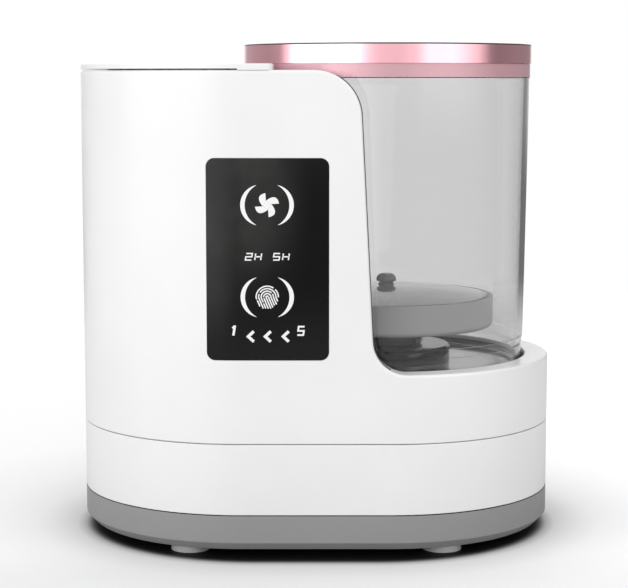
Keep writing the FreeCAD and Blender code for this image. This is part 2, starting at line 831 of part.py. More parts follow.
def jar_seat():
    """Floor of the well: a cup turned upside down, with a hub for the upper bush."""
    under = "seat_top - seat_floor"
    low = "well_ledge + 0.05"
    blank = turned("seat_blank", [
        ("bush_seat", "well_ledge_under"), ("seat_hub_radius", "well_ledge_under"),
        ("seat_hub_radius", under),
        ("seat_skirt_radius", under), ("seat_skirt_radius", low), ("seat_radius", low),
        ("seat_radius", "seat_top"), ("seat_ring_out + 0.1", "seat_top"),
        ("seat_ring_out + 0.1", "seat_ring_low"),
        ("seat_ring_in - 0.1", "seat_ring_low"), ("seat_ring_in - 0.1", "seat_top"),
        ("bush_seat", "seat_top"),
    ])
    bosses = rods("seat_boss", "seat_boss_radius", low, "seat_top - 1", SEAT_SCREWS)
    trim = rod("seat_trim", "seat_radius", "60", "80")
    solid = common("seat_solid", fuse("seat_parts", blank, *bosses), trim)
    taps = rods("seat_tap", "small_bore", "60", "seat_top - 2.5", SEAT_SCREWS)
    node(cut("jar_seat", solid, *taps))
    node(tube("seat_ring", "seat_ring_in", "seat_ring_out", "seat_ring_low", "jar_bottom"))


# ---------------------------------------------------------------- panel and electronics

def touch_panel():
    skin = shell_slice("panel_skin", "panel_back_radius", "end_radius", "panel_low - 5", "panel_high + 5")
    node(common("touch_panel", skin, panel_prism("panel_outline", "0")))
    seat = shell_slice(
        "gasket_skin", "gasket_back_radius", "panel_back_radius", "panel_low - 5", "panel_high + 5",
    )
    opening = block(
        "gasket_opening", ("panel_left + gasket_width", "panel_right - gasket_width"), ("-90", "-60"),
        ("panel_low + gasket_width", "panel_high - gasket_width"),
    )
    frame = common("gasket_blank", seat, panel_prism("gasket_outline", "-0.3"))
    node(cut("panel_gasket", frame, opening))


def control_board():
    blank = block("board_blank", ("board_left", "board_right"), ("board_front_y", "board_back_y"),
                  ("board_low", "board_high"))
    holes = [
        rod_y(f"board_hole_{n}", "small_bore + 0.15", "board_front_y - 1", "board_back_y + 1", across, level)
        for n, (across, level) in enumerate(BOARD_SCREWS, start=1)
    ]
    node(cut("control_board", blank, *holes))
    screws = []
    for number, (across, level) in enumerate(BOARD_SCREWS, start=1):
        shank = rod_y(
            f"board_shank_{number}", "small_screw", "board_front_y - 2.2", "board_back_y + 0.5", across,
            level,
        )
        head = rod_y(f"board_head_{number}", "small_head", "board_back_y", "board_back_y + small_head_height",
                     across, level)
        screws.append(fuse(f"board_screw_{number}", shank, head))
    node(group("board_screws", screws))
    # name: (x range, height range, depth)
    chips = {
        "controller": ("-26", "-16", "118", "128", "1.6"),
        "relay": ("-38", "-22", "140", "155", "9"),
        "buzzer": ("-12", "-3", "146", "155", "5"),
        "regulator": ("-12", "-4", "100", "110", "4"),
        "connector": ("-38", "-22", "84", "90", "6"),
        "fan_connector": ("-40", "-32", "160", "166", "6"),
    }
    made = [
        block(label, (left, right), ("board_back_y", f"board_back_y + {depth}"), (low, high))
        for label, (left, right, low, high, depth) in chips.items()
    ]
    node(group("board_components", made))
    keys = [("key_x", "fan_key_height"), ("key_x - 6", "legend_height"), ("key_x + 6", "legend_height"),
            ("key_x", "touch_key_height"), ("key_x - 9", "speed_row_height"),
            ("key_x + 9", "speed_row_height")]
    contacts = []
    for number, (across, level) in enumerate(keys, start=1):
        outer = rod_y(f"contact_outer_{number}", "contact_radius", "-panel_back_radius + 0.3",
                      "board_front_y",
                      across, level)
        bore = rod_y(
            f"contact_bore_{number}", "contact_bore", "-panel_back_radius", "board_front_y + 1", across,
            level,
        )
        contacts.append(cut(f"contact_{number}", outer, bore))
    node(group("touch_springs", contacts))


def power_unit():
    blank = block("power_blank", ("-power_half", "power_half"), ("power_front", "power_back"),
                  ("power_low", "power_high"))
    node(cut("power_board", blank, *rods("power_hole", "small_bore + 0.15", "20", "40", POWER_SCREWS)))
    # name: (x range, y range, top)
    parts = {
        "driver": ("-2", "16", "40", "58", "40"),
        "inductor": ("19", "29", "36", "48", "38"),
        "terminal": ("-25", "-10", "34", "42", "38"),
        "heat_sink": ("2", "26", "61", "66", "43"),
    }
    made = [
        block(label, (left, right), (front, back), ("power_high", top))
        for label, (left, right, front, back, top) in parts.items()
    ]
    made.append(rod("capacitor_a", "4", "power_high", "41", "-6", "50"))
    made.append(rod("capacitor_b", "4", "power_high", "41", "-6", "60"))
    node(group("power_components", made))
    screws = []
    for number, place in enumerate(POWER_SCREWS, start=1):
        shank = rod(f"power_shank_{number}", "small_screw", "power_low - 6", "power_high + 0.5", *place)
        head = rod(
            f"power_head_{number}", "small_head", "power_high", "power_high + small_head_height", *place,
        )
        screws.append(fuse(f"power_screw_{number}", shank, head))
    node(group("power_screws", screws))
    x_range = ("inlet_x - inlet_half", "inlet_x + inlet_half")
    case = block(
        "inlet_case", x_range, ("inlet_front", "inlet_back"), ("power_high", "inlet_height + inlet_half"),
    )
    socket = rod_y("inlet_socket_bore", "inlet_socket", "inlet_back - inlet_depth", "inlet_back + 1",
                   "inlet_x",
                   "inlet_height")
    pin = rod_y("inlet_centre", "inlet_pin", "inlet_back - inlet_depth - 1", "inlet_back - 1", "inlet_x",
                "inlet_height")
    node(fuse("power_inlet", cut("inlet_body", case, socket), pin))


# ---------------------------------------------------------------- gear drive

def involute_wire(teeth, phase):
    """Outline of a spur gear: involute flanks, thinned by the backlash."""
    module, backlash = num("tooth_module"), num("tooth_backlash")
    pitch, tip, root = module * teeth / 2, module * (teeth / 2 + 1), module * (teeth / 2 - 1.25)
    base = pitch * math.cos(math.radians(20))
    start = max(base, root)

    def spread(radius):
        """Half the tooth's angle at a radius."""
        def involute(r):
            roll = math.sqrt(max((r / base) ** 2 - 1, 0))
            return roll - math.atan(roll)
        return math.pi / (2 * teeth) - backlash / (4 * pitch) * 2 + involute(pitch) - involute(radius)
    radii = [start + (tip - start) * step / 4 for step in range(5)]
    corners = []
    for tooth in range(teeth):
        middle = phase + 2 * math.pi * tooth / teeth
        rise = [(root, -spread(start))] + [(r, -spread(r)) for r in radii]
        for radius, offset in rise + [(r, -a) for r, a in reversed(rise)]:
            angle = middle + offset
            corners.append(Vector(radius * math.cos(angle), radius * math.sin(angle), 0))
    kept = [p for p, q in zip(corners, corners[1:] + corners[:1]) if p.distanceToPoint(q) > 1e-6]
    return Part.makePolygon(kept + kept[:1])


def toothed(label, teeth, phase, across, low, high):
    """A spur gear blank."""
    made = DOC.addObject("Part::Feature", label)
    thickness = num(high) - num(low)
    made.Shape = Part.Face(involute_wire(int(num(teeth)), phase)).extrude(Vector(0, 0, thickness))
    made.Placement = Placement(Vector(num(across), 0, num(low)), Rotation())
    return made


def gear_drive():
    plate = block("plate_blank", ("plate_left", "plate_right"), ("-plate_half", "plate_half"),
                  ("plate_low", "plate_high"))
    motor_holes = rods("motor_hole", "small_bore + 0.4", "40", "60", MOTOR_SCREWS)
    shaft_seat = rod("bush_hole", "bush_seat", "40", "60")
    boss_hole = rod("boss_hole", "motor_boss_bore", "40", "60", "motor_x")
    post_holes = rods("post_hole", "screw_clearance", "40", "60", POSTS)
    node(cut("gear_plate", plate, *motor_holes, shaft_seat, boss_hole, *post_holes))

    case = turned("motor_case", [
        ("0", "motor_low"), ("motor_radius - 3", "motor_low"), ("motor_radius - 3", "motor_low + 1.5"),
        ("motor_radius", "motor_low + 1.5"), ("motor_radius", "plate_low"),
        ("motor_boss_radius", "plate_low"),
        ("motor_boss_radius", "motor_boss_top"), ("0", "motor_boss_top"),
    ], "motor_x")
    bore = rod("motor_bore", "motor_shaft_bore", "plate_low - 14", "60", "motor_x")
    node(cut("motor", case, bore, *rods("motor_tap", "small_bore", "plate_low - 5", "60", MOTOR_SCREWS)))
    node(rod("motor_shaft", "motor_shaft_radius", "plate_low - 13.5", "motor_shaft_top", "motor_x"))
    # A tooth of the large gear points at the pinion, and a gap of the pinion faces it.
    pinion = toothed("pinion_blank", "pinion_teeth", math.pi / num("pinion_teeth"), "motor_x",
                     "pinion_low", "pinion_high")
    node(cut("motor_pinion", pinion, rod("pinion_bore", "motor_shaft_radius", "40", "60", "motor_x")))

    gear = toothed("gear_blank", "gear_teeth", math.pi, "jar_x", "gear_low", "gear_high")
    hub = rod("gear_hub", "gear_hub_radius", "gear_low", "gear_hub_top")
    windows = []
    for number in range(6):
        window = rod(f"gear_window_{number + 1}", "8.5", "40", "60", "jar_x + 23.5")
        windows.append(turn(window, 60 * number))
    node(cut(
        "drive_gear", fuse("gear_solid", gear, hub), rod("gear_hole", "gear_bore", "40", "70"), *windows,
    ))

    node(turned("drive_shaft", [
        ("0", "shaft_low"), ("shaft_radius", "shaft_low"), ("shaft_radius", "clip_low"),
        ("clip_groove", "clip_low"),
        ("clip_groove", "clip_high"), ("shaft_radius", "clip_high"), ("shaft_radius", "shaft_top"),
        ("0", "shaft_top"),
    ]))
    clip = tube("clip_ring", "clip_groove", "clip_radius", "clip_low", "clip_high")
    mouth = block(
        "clip_mouth", ("jar_x", "jar_x + clip_radius + 1"), ("-clip_groove", "clip_groove"), ("40", "50"),
    )
    node(cut("shaft_clip", clip, mouth))
    node(turned("lower_bush", [
        ("bush_bore", "plate_low - 0.6"), ("bush_radius", "plate_low - 0.6"), ("bush_radius", "plate_high"),
        ("bush_flange_radius", "plate_high"), ("bush_flange_radius", "gear_low - 0.1"),
        ("bush_bore", "gear_low - 0.1"),
    ]))
    node(tube("upper_bush", "bush_bore", "bush_radius", "well_ledge_under", "seat_top"))
    screws = []
    for number, place in enumerate(MOTOR_SCREWS, start=1):
        shank = rod(f"motor_shank_{number}", "small_screw", "plate_low - 4", "plate_high + 0.5", *place)
        head = rod(
            f"motor_head_{number}", "small_head", "plate_high", "plate_high + small_head_height", *place,
        )
        screws.append(fuse(f"motor_screw_{number}", shank, head))
    node(group("motor_screws", screws))
    screws = []
    for number, place in enumerate(POSTS, start=1):
        shank = rod(f"plate_shank_{number}", "screw_radius", "plate_low - 10", "plate_high + 0.5", *place)
        head = rod(f"plate_head_{number}", "screw_head_radius", "plate_high",
                   "plate_high + screw_head_height",
                   *place)
        screws.append(fuse(f"plate_screw_{number}", shank, head))
    node(group("plate_screws", screws))


def dogs(label, first_angle, low, high):
    """Three sector-shaped claws of the coupling."""
    made = []
    for number in range(3):
        claw = rod(f"{label}_{number + 1}", "dog_radius", low, high)
        bind(claw, "Angle", "dog_angle")
        start = first_angle + number * num("dog_pitch") - num("dog_angle") / 2
        made.append(turn(claw, start))
    return made


def couplers():
    disc = rod("drive_disc", "dog_radius", "drive_disc_low", "drive_disc_high")
    claws = dogs("drive_dog", 0, "drive_disc_high - 0.5", "drive_dog_top")
    core = rod("drive_core", "dog_inner", "drive_disc_high", "90")
    bore = rod("drive_coupler_bore", "shaft_radius", "70", "shaft_top")
    node(cut("drive_coupler", fuse("drive_coupler_solid", disc, *claws), core, bore))
    disc = rod("driven_disc", "dog_radius", "driven_disc_low", "driven_disc_high")
    claws = dogs("driven_dog", 60, "driven_dog_low", "driven_disc_low + 0.5")
    core = rod("driven_core", "dog_inner", "70", "driven_disc_low")
    bore = rod("driven_coupler_bore", "carrier_shaft_radius", "70", "90")
    node(cut("driven_coupler", fuse("driven_coupler_solid", disc, *claws), core, bore))


# ---------------------------------------------------------------- jar, tray and lid

def jar():
    """Clear cup with a stepped foot, slightly wider at the mouth, open to the duct on one side."""
    inner_foot = "jar_foot_radius - jar_wall"
    body = turned("jar_blank", [
        ("jar_hole", "jar_bottom"), ("jar_foot_radius", "jar_bottom"), ("jar_foot_radius", "jar_foot_top"),
        ("jar_step_radius", "jar_step_top"), ("jar_mouth_radius", "jar_rebate"),
        ("jar_rebate_radius", "jar_rebate"), ("jar_rebate_radius", "jar_top"), ("jar_mouth_inner", "jar_top"),
        ("jar_step_radius - jar_wall", "jar_step_top"), (inner_foot, "jar_foot_top"),
        (inner_foot, "jar_floor"),
        ("jar_hole", "jar_floor"),
    ])
    round_edges(body, "jar_foot_round", circle_at("jar_bottom", "jar_foot_radius"))
    round_edges(body, "jar_foot_round", circle_at("jar_floor", inner_foot))
    count = int(num("jar_slot_count"))
    slots = []
    for number in range(count):
        slot = block(
            f"jar_slot_{number + 1}", ("jar_x + 55", "jar_x + 70"),
            ("-jar_slot_width / 2", "jar_slot_width / 2"),
            ("jar_slot_low", "jar_slot_high"),
        )
        slots.append(turn(slot, 180 + (number - (count - 1) / 2) * num("jar_slot_step")))
    node(cut("jar", body, *slots))
    node(tube("jar_rim_ring", "ring_inner", "ring_outer", "ring_low", "ring_high"))
    node(turned("jar_pedestal", [
        ("pedestal_cavity", "jar_floor"), ("seal_inner", "jar_floor"), ("seal_inner", "seal_top"),
        ("seal_outer", "seal_top"), ("seal_outer", "jar_floor"), ("pedestal_radius", "jar_floor"),
        ("pedestal_radius", "pedestal_top - 1"), ("pedestal_radius - 1", "pedestal_top"),
        ("spigot_radius", "pedestal_top"), ("spigot_radius", "spigot_top"), ("jar_bush_radius", "spigot_top"),
        ("jar_bush_radius", "pedestal_roof"), ("pedestal_cavity", "pedestal_roof"),
    ]))
    node(tube("jar_seal", "seal_inner", "seal_outer", "jar_floor", "seal_top"))
    node(tube("jar_bush", "jar_bush_bore", "jar_bush_radius", "pedestal_roof", "jar_bush_top"))


def carrier():
    node(rod("carrier_shaft", "carrier_shaft_radius", "driven_disc_low", "carrier_shaft_top"))
    node(turned("turntable_hub", [
        ("hub_cavity", "hub_low"), ("hub_radius - 0.8", "hub_low"), ("hub_radius", "hub_low + 0.8"),
        ("hub_radius", "tray_low"), ("carrier_shaft_radius", "tray_low"),
        ("carrier_shaft_radius", "hub_cavity_top"), ("hub_cavity", "hub_cavity_top"),
    ]))
    tray = turned("carrier_tray", [
        ("carrier_shaft_radius", "tray_low"), ("tray_radius", "tray_low"), ("tray_radius", "tray_top"),
        ("tray_rebate", "tray_top"), ("tray_rebate", "tray_step"), ("tray_inner", "tray_step"),
        ("tray_inner", "tray_floor"), ("carrier_shaft_radius", "tray_floor"),
    ])
    round_edges(tray, "tray_round", circle_at("tray_low", "tray_radius"))
    node(tray)
    node(turned("centre_post", [
        ("carrier_shaft_radius", "tray_floor"), ("post_low_radius", "tray_floor"),
        ("post_top_radius", "post_top"),
        ("0", "post_top"), ("0", "carrier_shaft_top"), ("carrier_shaft_radius", "carrier_shaft_top"),
    ]))


def ball(label, radius, top):
    """A sphere on the jar's axis, placed by its highest point."""
    made = DOC.addObject("Part::Sphere", label)
    bind(made, "Radius", radius)
    bind(made, "Placement.Base.x", "jar_x")
    bind(made, "Placement.Base.z", f"{top} - {radius}")
    return made


def cover():
    """Clear domed cover that rests on the tray's step, with a mushroom knob on its crown."""
    reach = "(dome_radius ^ 2 + (dome_top - dome_edge) ^ 2) / (2 * (dome_top - dome_edge))"
    outer = ball("dome_outer", f"({reach})", "dome_top")
    inner = ball("dome_inner", f"({reach} - dome_skin)", "(dome_top - dome_skin)")
    disc = rod("dome_disc", "dome_radius", "dome_low", "dome_top + 1")
    skin = common("dome_skin_cap", cut("dome_shell", outer, inner), disc)
    foot = tube("dome_foot", "dome_radius - dome_skin", "dome_radius", "dome_low", "dome_edge - 0.5")
    node(fuse("tray_cover", skin, foot))
    knob = turned("cover_knob", [
        ("0", "dome_top"), ("knob_foot_radius", "dome_top"), ("knob_neck_radius", "knob_neck_top"),
        ("knob_radius", "knob_brim"), ("knob_radius", "knob_top"), ("0", "knob_top"),
    ])
    round_edges(knob, "knob_round", circle_at("knob_top", "knob_radius"))
    node(knob)


def lid():
    """Metallic cap with a vented plate let into its top and a skirt that enters the jar."""
    node(turned("lid_cap", [
        ("lid_skirt_inner", "lid_skirt_low"), ("lid_skirt_radius", "lid_skirt_low"),
        ("lid_skirt_radius", "lid_seal_low"), ("lid_seal_inner", "lid_seal_low"),
        ("lid_seal_inner", "lid_seal_high"), ("lid_skirt_radius", "lid_seal_high"),
        ("lid_skirt_radius", "lid_low"), ("lid_radius", "lid_low"), ("lid_radius", "lid_bevel_low"),
        ("lid_bevel_radius", "lid_shoulder"), ("lid_plate_seat_radius", "lid_shoulder"),
        ("lid_plate_seat_radius", "lid_shelf"), ("lid_shelf_radius", "lid_shelf"),
        ("lid_shelf_radius", "lid_under"), ("lid_skirt_inner", "lid_under"),
    ]))
    node(tube("lid_seal", "lid_seal_inner", "lid_seal_outer", "lid_seal_low", "lid_seal_high"))
    plate = turned("vent_plate_blank", [
        ("0", "lid_shelf"), ("lid_plate_radius", "lid_shelf"), ("lid_plate_radius", "lid_plate_edge"),
        ("lid_plate_radius * 0.6", "(lid_plate_edge + 3 * lid_plate_top) / 4"), ("0", "lid_plate_top"),
    ])
    vents = []
    for number in range(int(num("vent_count"))):
        vent = block(
            f"vent_{number + 1}", ("jar_x + vent_inner", "jar_x + vent_outer"),
            ("-vent_width / 2", "vent_width / 2"),
            ("210", "225"),
        )
        vents.append(turn(vent, number * 360 / num("vent_count")))
    node(cut("lid_vent_plate", plate, *vents))


# ---------------------------------------------------------------- air system

def fan():
    """Square axial fan that blows upwards into the duct."""
    x_range = ("fan_x - fan_half", "fan_x + fan_half")
    blank = block("fan_blank", x_range, ("-fan_half", "fan_half"), ("fan_low", "fan_high"))
    holes = rods("fan_hole", "fan_hole", "fan_low - 1", "fan_high + 1", FAN_SCREWS)
    ring = cut(
        "fan_ring", blank, rod("fan_throat", "fan_bore", "fan_low - 1", "fan_high + 1", "fan_x"), *holes,
    )
    arm_half = "fan_arm_width / 2"
    arm_x = block("fan_arm_x", ("fan_x - fan_bore - 1", "fan_x + fan_bore + 1"), (f"-{arm_half}", arm_half),
                  ("fan_low", "fan_arm_top"))
    arm_y = block("fan_arm_y", (f"fan_x - {arm_half}", f"fan_x + {arm_half}"),
                  ("-fan_bore - 1", "fan_bore + 1"),
                  ("fan_low", "fan_arm_top"))
    stator = rod("fan_stator", "fan_stator_radius", "fan_low", "fan_stator_top", "fan_x")
    node(fuse("fan_frame", ring, arm_x, arm_y, stator))

    hub = rod("impeller_hub", "fan_hub_radius", "fan_hub_low", "fan_hub_high", "fan_x")
    level = num("(fan_hub_low + fan_hub_high) / 2")
    thick = num("fan_blade_thickness")
    blades = []
    for number in range(int(num("fan_blade_count"))):
        blade = DOC.addObject("Part::Box", f"blade_{number + 1}")
        bind(blade, "Length", "fan_bore - fan_hub_radius + 4")
        blade.Width = num("fan_hub_high - fan_hub_low") * 1.15
        bind(blade, "Height", "fan_blade_thickness")
        tilt = Rotation(Vector(1, 0, 0), num("fan_blade_pitch"))
        corner = tilt.multVec(Vector(0, -blade.Width.Value / 2, -thick / 2))
        lying = Placement(Vector(num("fan_hub_radius - 2"), 0, level) + corner, tilt)
        heading = Rotation(Vector(0, 0, 1), number * 360 / num("fan_blade_count"))
        blade.Placement = Placement(Vector(num("fan_x"), 0, 0), heading).multiply(lying)
        blades.append(blade)
    sweep = rod("impeller_sweep", "fan_blade_radius", "fan_hub_low", "fan_hub_high", "fan_x")
    node(common("fan_impeller", fuse("impeller_solid", hub, *blades), sweep))

    screws = []
    for number, place in enumerate(FAN_SCREWS, start=1):
        shank = rod(f"fan_shank_{number}", "screw_radius", "fan_low - 0.5", "duct_flange_top", *place)
        head = rod(
            f"fan_head_{number}", "screw_head_radius", "fan_low - screw_head_height", "fan_low", *place,
        )
        screws.append(fuse(f"fan_screw_{number}", shank, head))
    node(group("fan_screws", screws))


def duct_box(label, shrink, low, high):
    return block(
        label, (f"fan_x - duct_half_x + {shrink}", f"fan_x + duct_half_x - {shrink}"),
        (f"-duct_half_y + {shrink}", f"duct_half_y - {shrink}"), (low, high),
    )


def air_duct():
    flange = block("duct_flange", ("fan_x - fan_half", "fan_x + fan_half"), ("-fan_half", "fan_half"),
                   ("duct_low", "duct_flange_top"))
    case = duct_box("duct_case", "0", "duct_low", "duct_top")
    nozzle = block(
        "nozzle", ("fan_x", "nozzle_x"), ("-nozzle_half", "nozzle_half"), ("nozzle_low", "nozzle_high"),
    )
    hangers = rods("hanger", "hanger_radius", "duct_top - 1", "tower_top - tower_roof",
                   [("fan_x - 20", "-15"), ("fan_x - 20", "15")])
    hollow = duct_box("duct_hollow", "duct_wall", "duct_low - 1", "duct_top - duct_wall")
    mouth = block(
        "nozzle_mouth", ("fan_x", "nozzle_x + 1"), ("-nozzle_half + duct_wall", "nozzle_half - duct_wall"),
        ("nozzle_low + duct_wall", "nozzle_high - duct_wall"),
    )
    taps = rods("flange_tap", "screw_bore", "duct_low - 1", "duct_flange_top + 1", FAN_SCREWS)
    node(cut("air_duct", fuse("duct_solid", flange, case, nozzle, *hangers), hollow, mouth, *taps))

    shell = tube("outlet_shell", "outlet_front_radius", "outlet_back_radius", "outlet_low", "outlet_high")
    face = block("outlet_face", ("-60", "0"), ("-outlet_half", "outlet_half"), ("outlet_low", "outlet_high"))
    gaps = []
    for number in range(-4, 5):
        middle = f"{number} * outlet_slat_pitch"
        gap = block(
            f"outlet_gap_{number + 5}", ("-60", "0"),
            (f"{middle} - outlet_slat_gap / 2", f"{middle} + outlet_slat_gap / 2"),
            ("outlet_low + 1.5", "outlet_high - 1.5"),
        )
        gaps.append(gap)
    node(cut("outlet_grille", common("outlet_blank", shell, face), *gaps))

    inner = "duct_half_y - duct_wall - 1"
    fins = []
    for number in range(int(num("heater_fin_count"))):
        left = f"fan_x - 23 + {number} * heater_fin_pitch"
        fin = block(f"heater_fin_{number + 1}", (left, f"{left} + heater_fin"), (f"-({inner})", inner),
                    ("heater_low", "heater_high"))
        fins.append(fin)
    bars = [
        block(f"heater_bar_{number}",
              ("fan_x - duct_half_x + duct_wall + 0.3", "fan_x + duct_half_x - duct_wall - 0.3"),
              (f"{along} - heater_bar / 2", f"{along} + heater_bar / 2"), ("heater_low", "heater_high"))
        for number, along in enumerate(("-18", "-6", "6", "18"), start=1)
    ]
    node(fuse("heater_core", *fins, *bars))
    node(rod_y("thermal_cutout", "cutout_radius", "duct_half_y", "duct_half_y + 5", "fan_x", "cutout_height"))


def intake():
    x_range, z_range = ("filter_left", "filter_right"), ("intake_low - 2", "intake_high + 2")
    node(block("intake_filter", x_range, ("filter_front", "filter_back"), z_range))
    rim = "filter_frame"
    outer = block(
        "filter_rim", (f"filter_left - {rim}", f"filter_right + {rim}"),
        ("filter_front - 1.2", "filter_back + 1.2"),
        (f"intake_low - 2 - {rim}", f"intake_high + 2 + {rim}"),
    )
    pocket = block("filter_pocket", x_range, ("filter_front", "filter_back"), z_range)
    sight = block(
        "filter_sight", ("filter_left + 2", "filter_right - 2"), ("50", "80"), ("intake_low", "intake_high"),
    )
    node(cut("filter_frame", outer, pocket, sight))


# ---------------------------------------------------------------- screws and wires

def housing_screws():
    screws = []
    for number, place in enumerate(HOUSING_SCREWS, start=1):
        shank = rod(f"long_shank_{number}", "screw_radius", "screw_head_seat - 0.5", "screw_tip", *place)
        head = rod(f"long_head_{number}", "screw_head_radius", "screw_head_seat - screw_head_height",
                   "screw_head_seat", *place)
        socket = rod(f"long_socket_{number}", "1.6", "screw_head_seat - screw_head_height - 1",
                     "screw_head_seat - 1", *place)
        screws.append(cut(f"long_screw_{number}", fuse(f"long_solid_{number}", shank, head), socket))
    node(group("housing_screws", screws))
    screws = []
    for number, place in enumerate(SEAT_SCREWS, start=1):
        shank = rod(f"seat_shank_{number}", "small_screw", "well_ledge_under - 0.5", "well_ledge + 6", *place)
        head = rod(f"seat_head_{number}", "small_head", "well_ledge_under - small_head_height",
                   "well_ledge_under", *place)
        screws.append(fuse(f"seat_screw_{number}", shank, head))
    node(group("seat_screws", screws))


def wire(label, route):
    """A wire of straight runs with a round elbow at each corner."""
    radius = num("wire_radius")
    points = [Vector(*(num(value) for value in place)) for place in route]
    solids = [Part.makeCylinder(radius, (b - a).Length, a, b - a) for a, b in zip(points, points[1:])]
    solids += [Part.makeSphere(radius, corner) for corner in points[1:-1]]
    made = DOC.addObject("Part::Feature", label)
    made.Shape = solids[0].multiFuse(solids[1:]).removeSplitter()
    return made


def wiring():
    """Leads from the power board to the control board, motor, fan and heater."""
    node(group("wiring", [
        wire("control_lead",
             [("-16", "34", "36"), ("-16", "22", "36"), ("-50", "22", "36"), ("-50", "22", "60"),
                              ("-50", "-60", "60"), ("-36", "-60", "60"), ("-36", "-60", "86"),
                              ("-36", "board_back_y + 6", "86")]),
        wire("motor_lead", [("-12.5", "34", "31"), ("-12.5", "motor_radius", "31")]),
        wire("fan_lead", [("-23", "34", "31"), ("-23", "28", "31"), ("-60", "28", "31"), ("-60", "28", "120"),
                          ("-60", "34", "120"), ("-60", "34", "140"), ("-60", "fan_half", "140")]),
        wire("heater_lead",
             [("-20", "34", "36"), ("-20", "25", "36"), ("-65", "25", "36"), ("-65", "25", "114"),
                             ("-65", "37", "114"), ("-65", "37", "164"), ("-65", "duct_half_y", "164")]),
    ]))


BOARD_SCREWS = [(x, z) for x in ("board_screw_left", "board_screw_right")
                for z in ("board_screw_low", "board_screw_high")]
POWER_SCREWS = [(f"{sx} * (power_half - 3.5)", y) for sx in (-1, 1)
                for y in ("power_front + 3.5", "power_back - 3.5")]
MOTOR_SCREWS = [("motor_x", f"{sy} * motor_screw_y") for sy in (-1, 1)]
FAN_SCREWS = [(f"fan_x + {sx} * fan_hole_half", f"{sy} * fan_hole_half") for sx, sy in CORNERS]
SEAT_SCREWS = [(f"jar_x + seat_screw_distance * cos({angle} * 1deg)",
                f"seat_screw_distance * sin({angle} * 1deg)")
               for angle in (90, 210, 330)]
COVER_TABS = [("-92", "0"), ("-55", "-52"), ("-55", "52")]

base_tray()
rubber_feet()
lower_housing()
upper_housing()
top_cover()
jar_seat()
touch_panel()
control_board()
power_unit()
gear_drive()
couplers()
jar()
carrier()
cover()
lid()
fan()
air_duct()
intake()
housing_screws()
wiring()

DOC.recompute()
for thing in DOC.Objects:
    if "Invalid" in thing.State or "Error" in thing.State:
        raise SystemExit(f"{thing.Label} did not recompute: {thing.State}")
for thing in PARTS:
    shape = thing.Shape
    if shape.isNull() or not shape.isValid() or not shape.Solids:
        raise SystemExit(f"{thing.Label} has no valid solid")

os.makedirs("parts", exist_ok=True)
for thing in PARTS:
    thing.Shape.exportStep(f"parts/{thing.Label}.step")
print(f"{len(PARTS)} sub-parts")
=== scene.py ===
"""Looks for a countertop warm-air dryer: studio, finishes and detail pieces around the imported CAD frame."""
import json
import math

import bmesh
import bpy
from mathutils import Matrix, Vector


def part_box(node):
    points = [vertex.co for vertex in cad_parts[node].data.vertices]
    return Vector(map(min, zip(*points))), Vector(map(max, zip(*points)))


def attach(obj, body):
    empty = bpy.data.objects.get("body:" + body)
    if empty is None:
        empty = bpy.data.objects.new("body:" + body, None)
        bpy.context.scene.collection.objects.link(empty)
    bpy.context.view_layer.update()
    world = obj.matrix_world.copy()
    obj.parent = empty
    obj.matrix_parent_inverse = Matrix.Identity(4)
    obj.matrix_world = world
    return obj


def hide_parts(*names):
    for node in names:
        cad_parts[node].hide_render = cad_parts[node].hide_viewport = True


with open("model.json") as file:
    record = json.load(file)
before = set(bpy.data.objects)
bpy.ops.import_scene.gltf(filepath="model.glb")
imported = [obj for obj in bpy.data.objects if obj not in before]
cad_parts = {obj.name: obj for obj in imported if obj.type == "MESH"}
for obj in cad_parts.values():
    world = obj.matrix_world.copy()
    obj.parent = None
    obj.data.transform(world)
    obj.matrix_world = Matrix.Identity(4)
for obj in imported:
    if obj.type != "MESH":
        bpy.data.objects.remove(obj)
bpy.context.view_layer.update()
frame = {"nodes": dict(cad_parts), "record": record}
MM = 0.001

# Places taken from the frame, in metres.
HOUSING_LOW, HOUSING_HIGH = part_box("upper_housing")
JAR_LOW, JAR_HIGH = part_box("jar")
PANEL_LOW, PANEL_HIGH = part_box("touch_panel")
PANEL_MIDDLE = (PANEL_LOW + PANEL_HIGH) / 2
END_RADIUS = (HOUSING_HIGH.y - HOUSING_LOW.y) / 2
HALF_FLAT = (HOUSING_HIGH.x - HOUSING_LOW.x) / 2 - END_RADIUS
JAR_AXIS = (JAR_LOW.x + JAR_HIGH.x) / 2


# ---------------------------------------------------------------- materials

def principled(name, colour, roughness, **sockets):
    """A Principled material; further sockets are given by name, with _ for a space."""
    mat = bpy.data.materials.new(name)
    mat.use_nodes = True
    shader = mat.node_tree.nodes["Principled BSDF"]
    shader.inputs["Base Color"].default_value = (*colour, 1)
    shader.inputs["Roughness"].default_value = roughness
    for socket, value in sockets.items():
        shader.inputs[socket.replace("_", " ")].default_value = value
    return mat


def add(tree, kind, **inputs):
    """A new node of that kind with its inputs set by name."""
    node = tree.nodes.new(kind)
    for socket, value in inputs.items():
        node.inputs[socket.replace("_", " ")].default_value = value
    return node


def maths(tree, operation, first, second=0.0, clamp=False):
    """The output of one Math node; each operand is a number or an output."""
    node = tree.nodes.new("ShaderNodeMath")
    node.operation = operation
    node.use_clamp = clamp
    for socket, value in zip(node.inputs, (first, second)):
        if isinstance(value, bpy.types.NodeSocket):
            tree.links.new(value, socket)
        else:
            socket.default_value = value
    return node.outputs[0]


def ranged(tree, value, low, high, to_low=0.0, to_high=1.0):
    """value mapped smoothly from low..high to to_low..to_high."""
    node = add(tree, "ShaderNodeMapRange", From_Min=low, From_Max=high, To_Min=to_low, To_Max=to_high)
    node.interpolation_type = "SMOOTHSTEP"
    tree.links.new(value, node.inputs["Value"])
    return node.outputs[0]


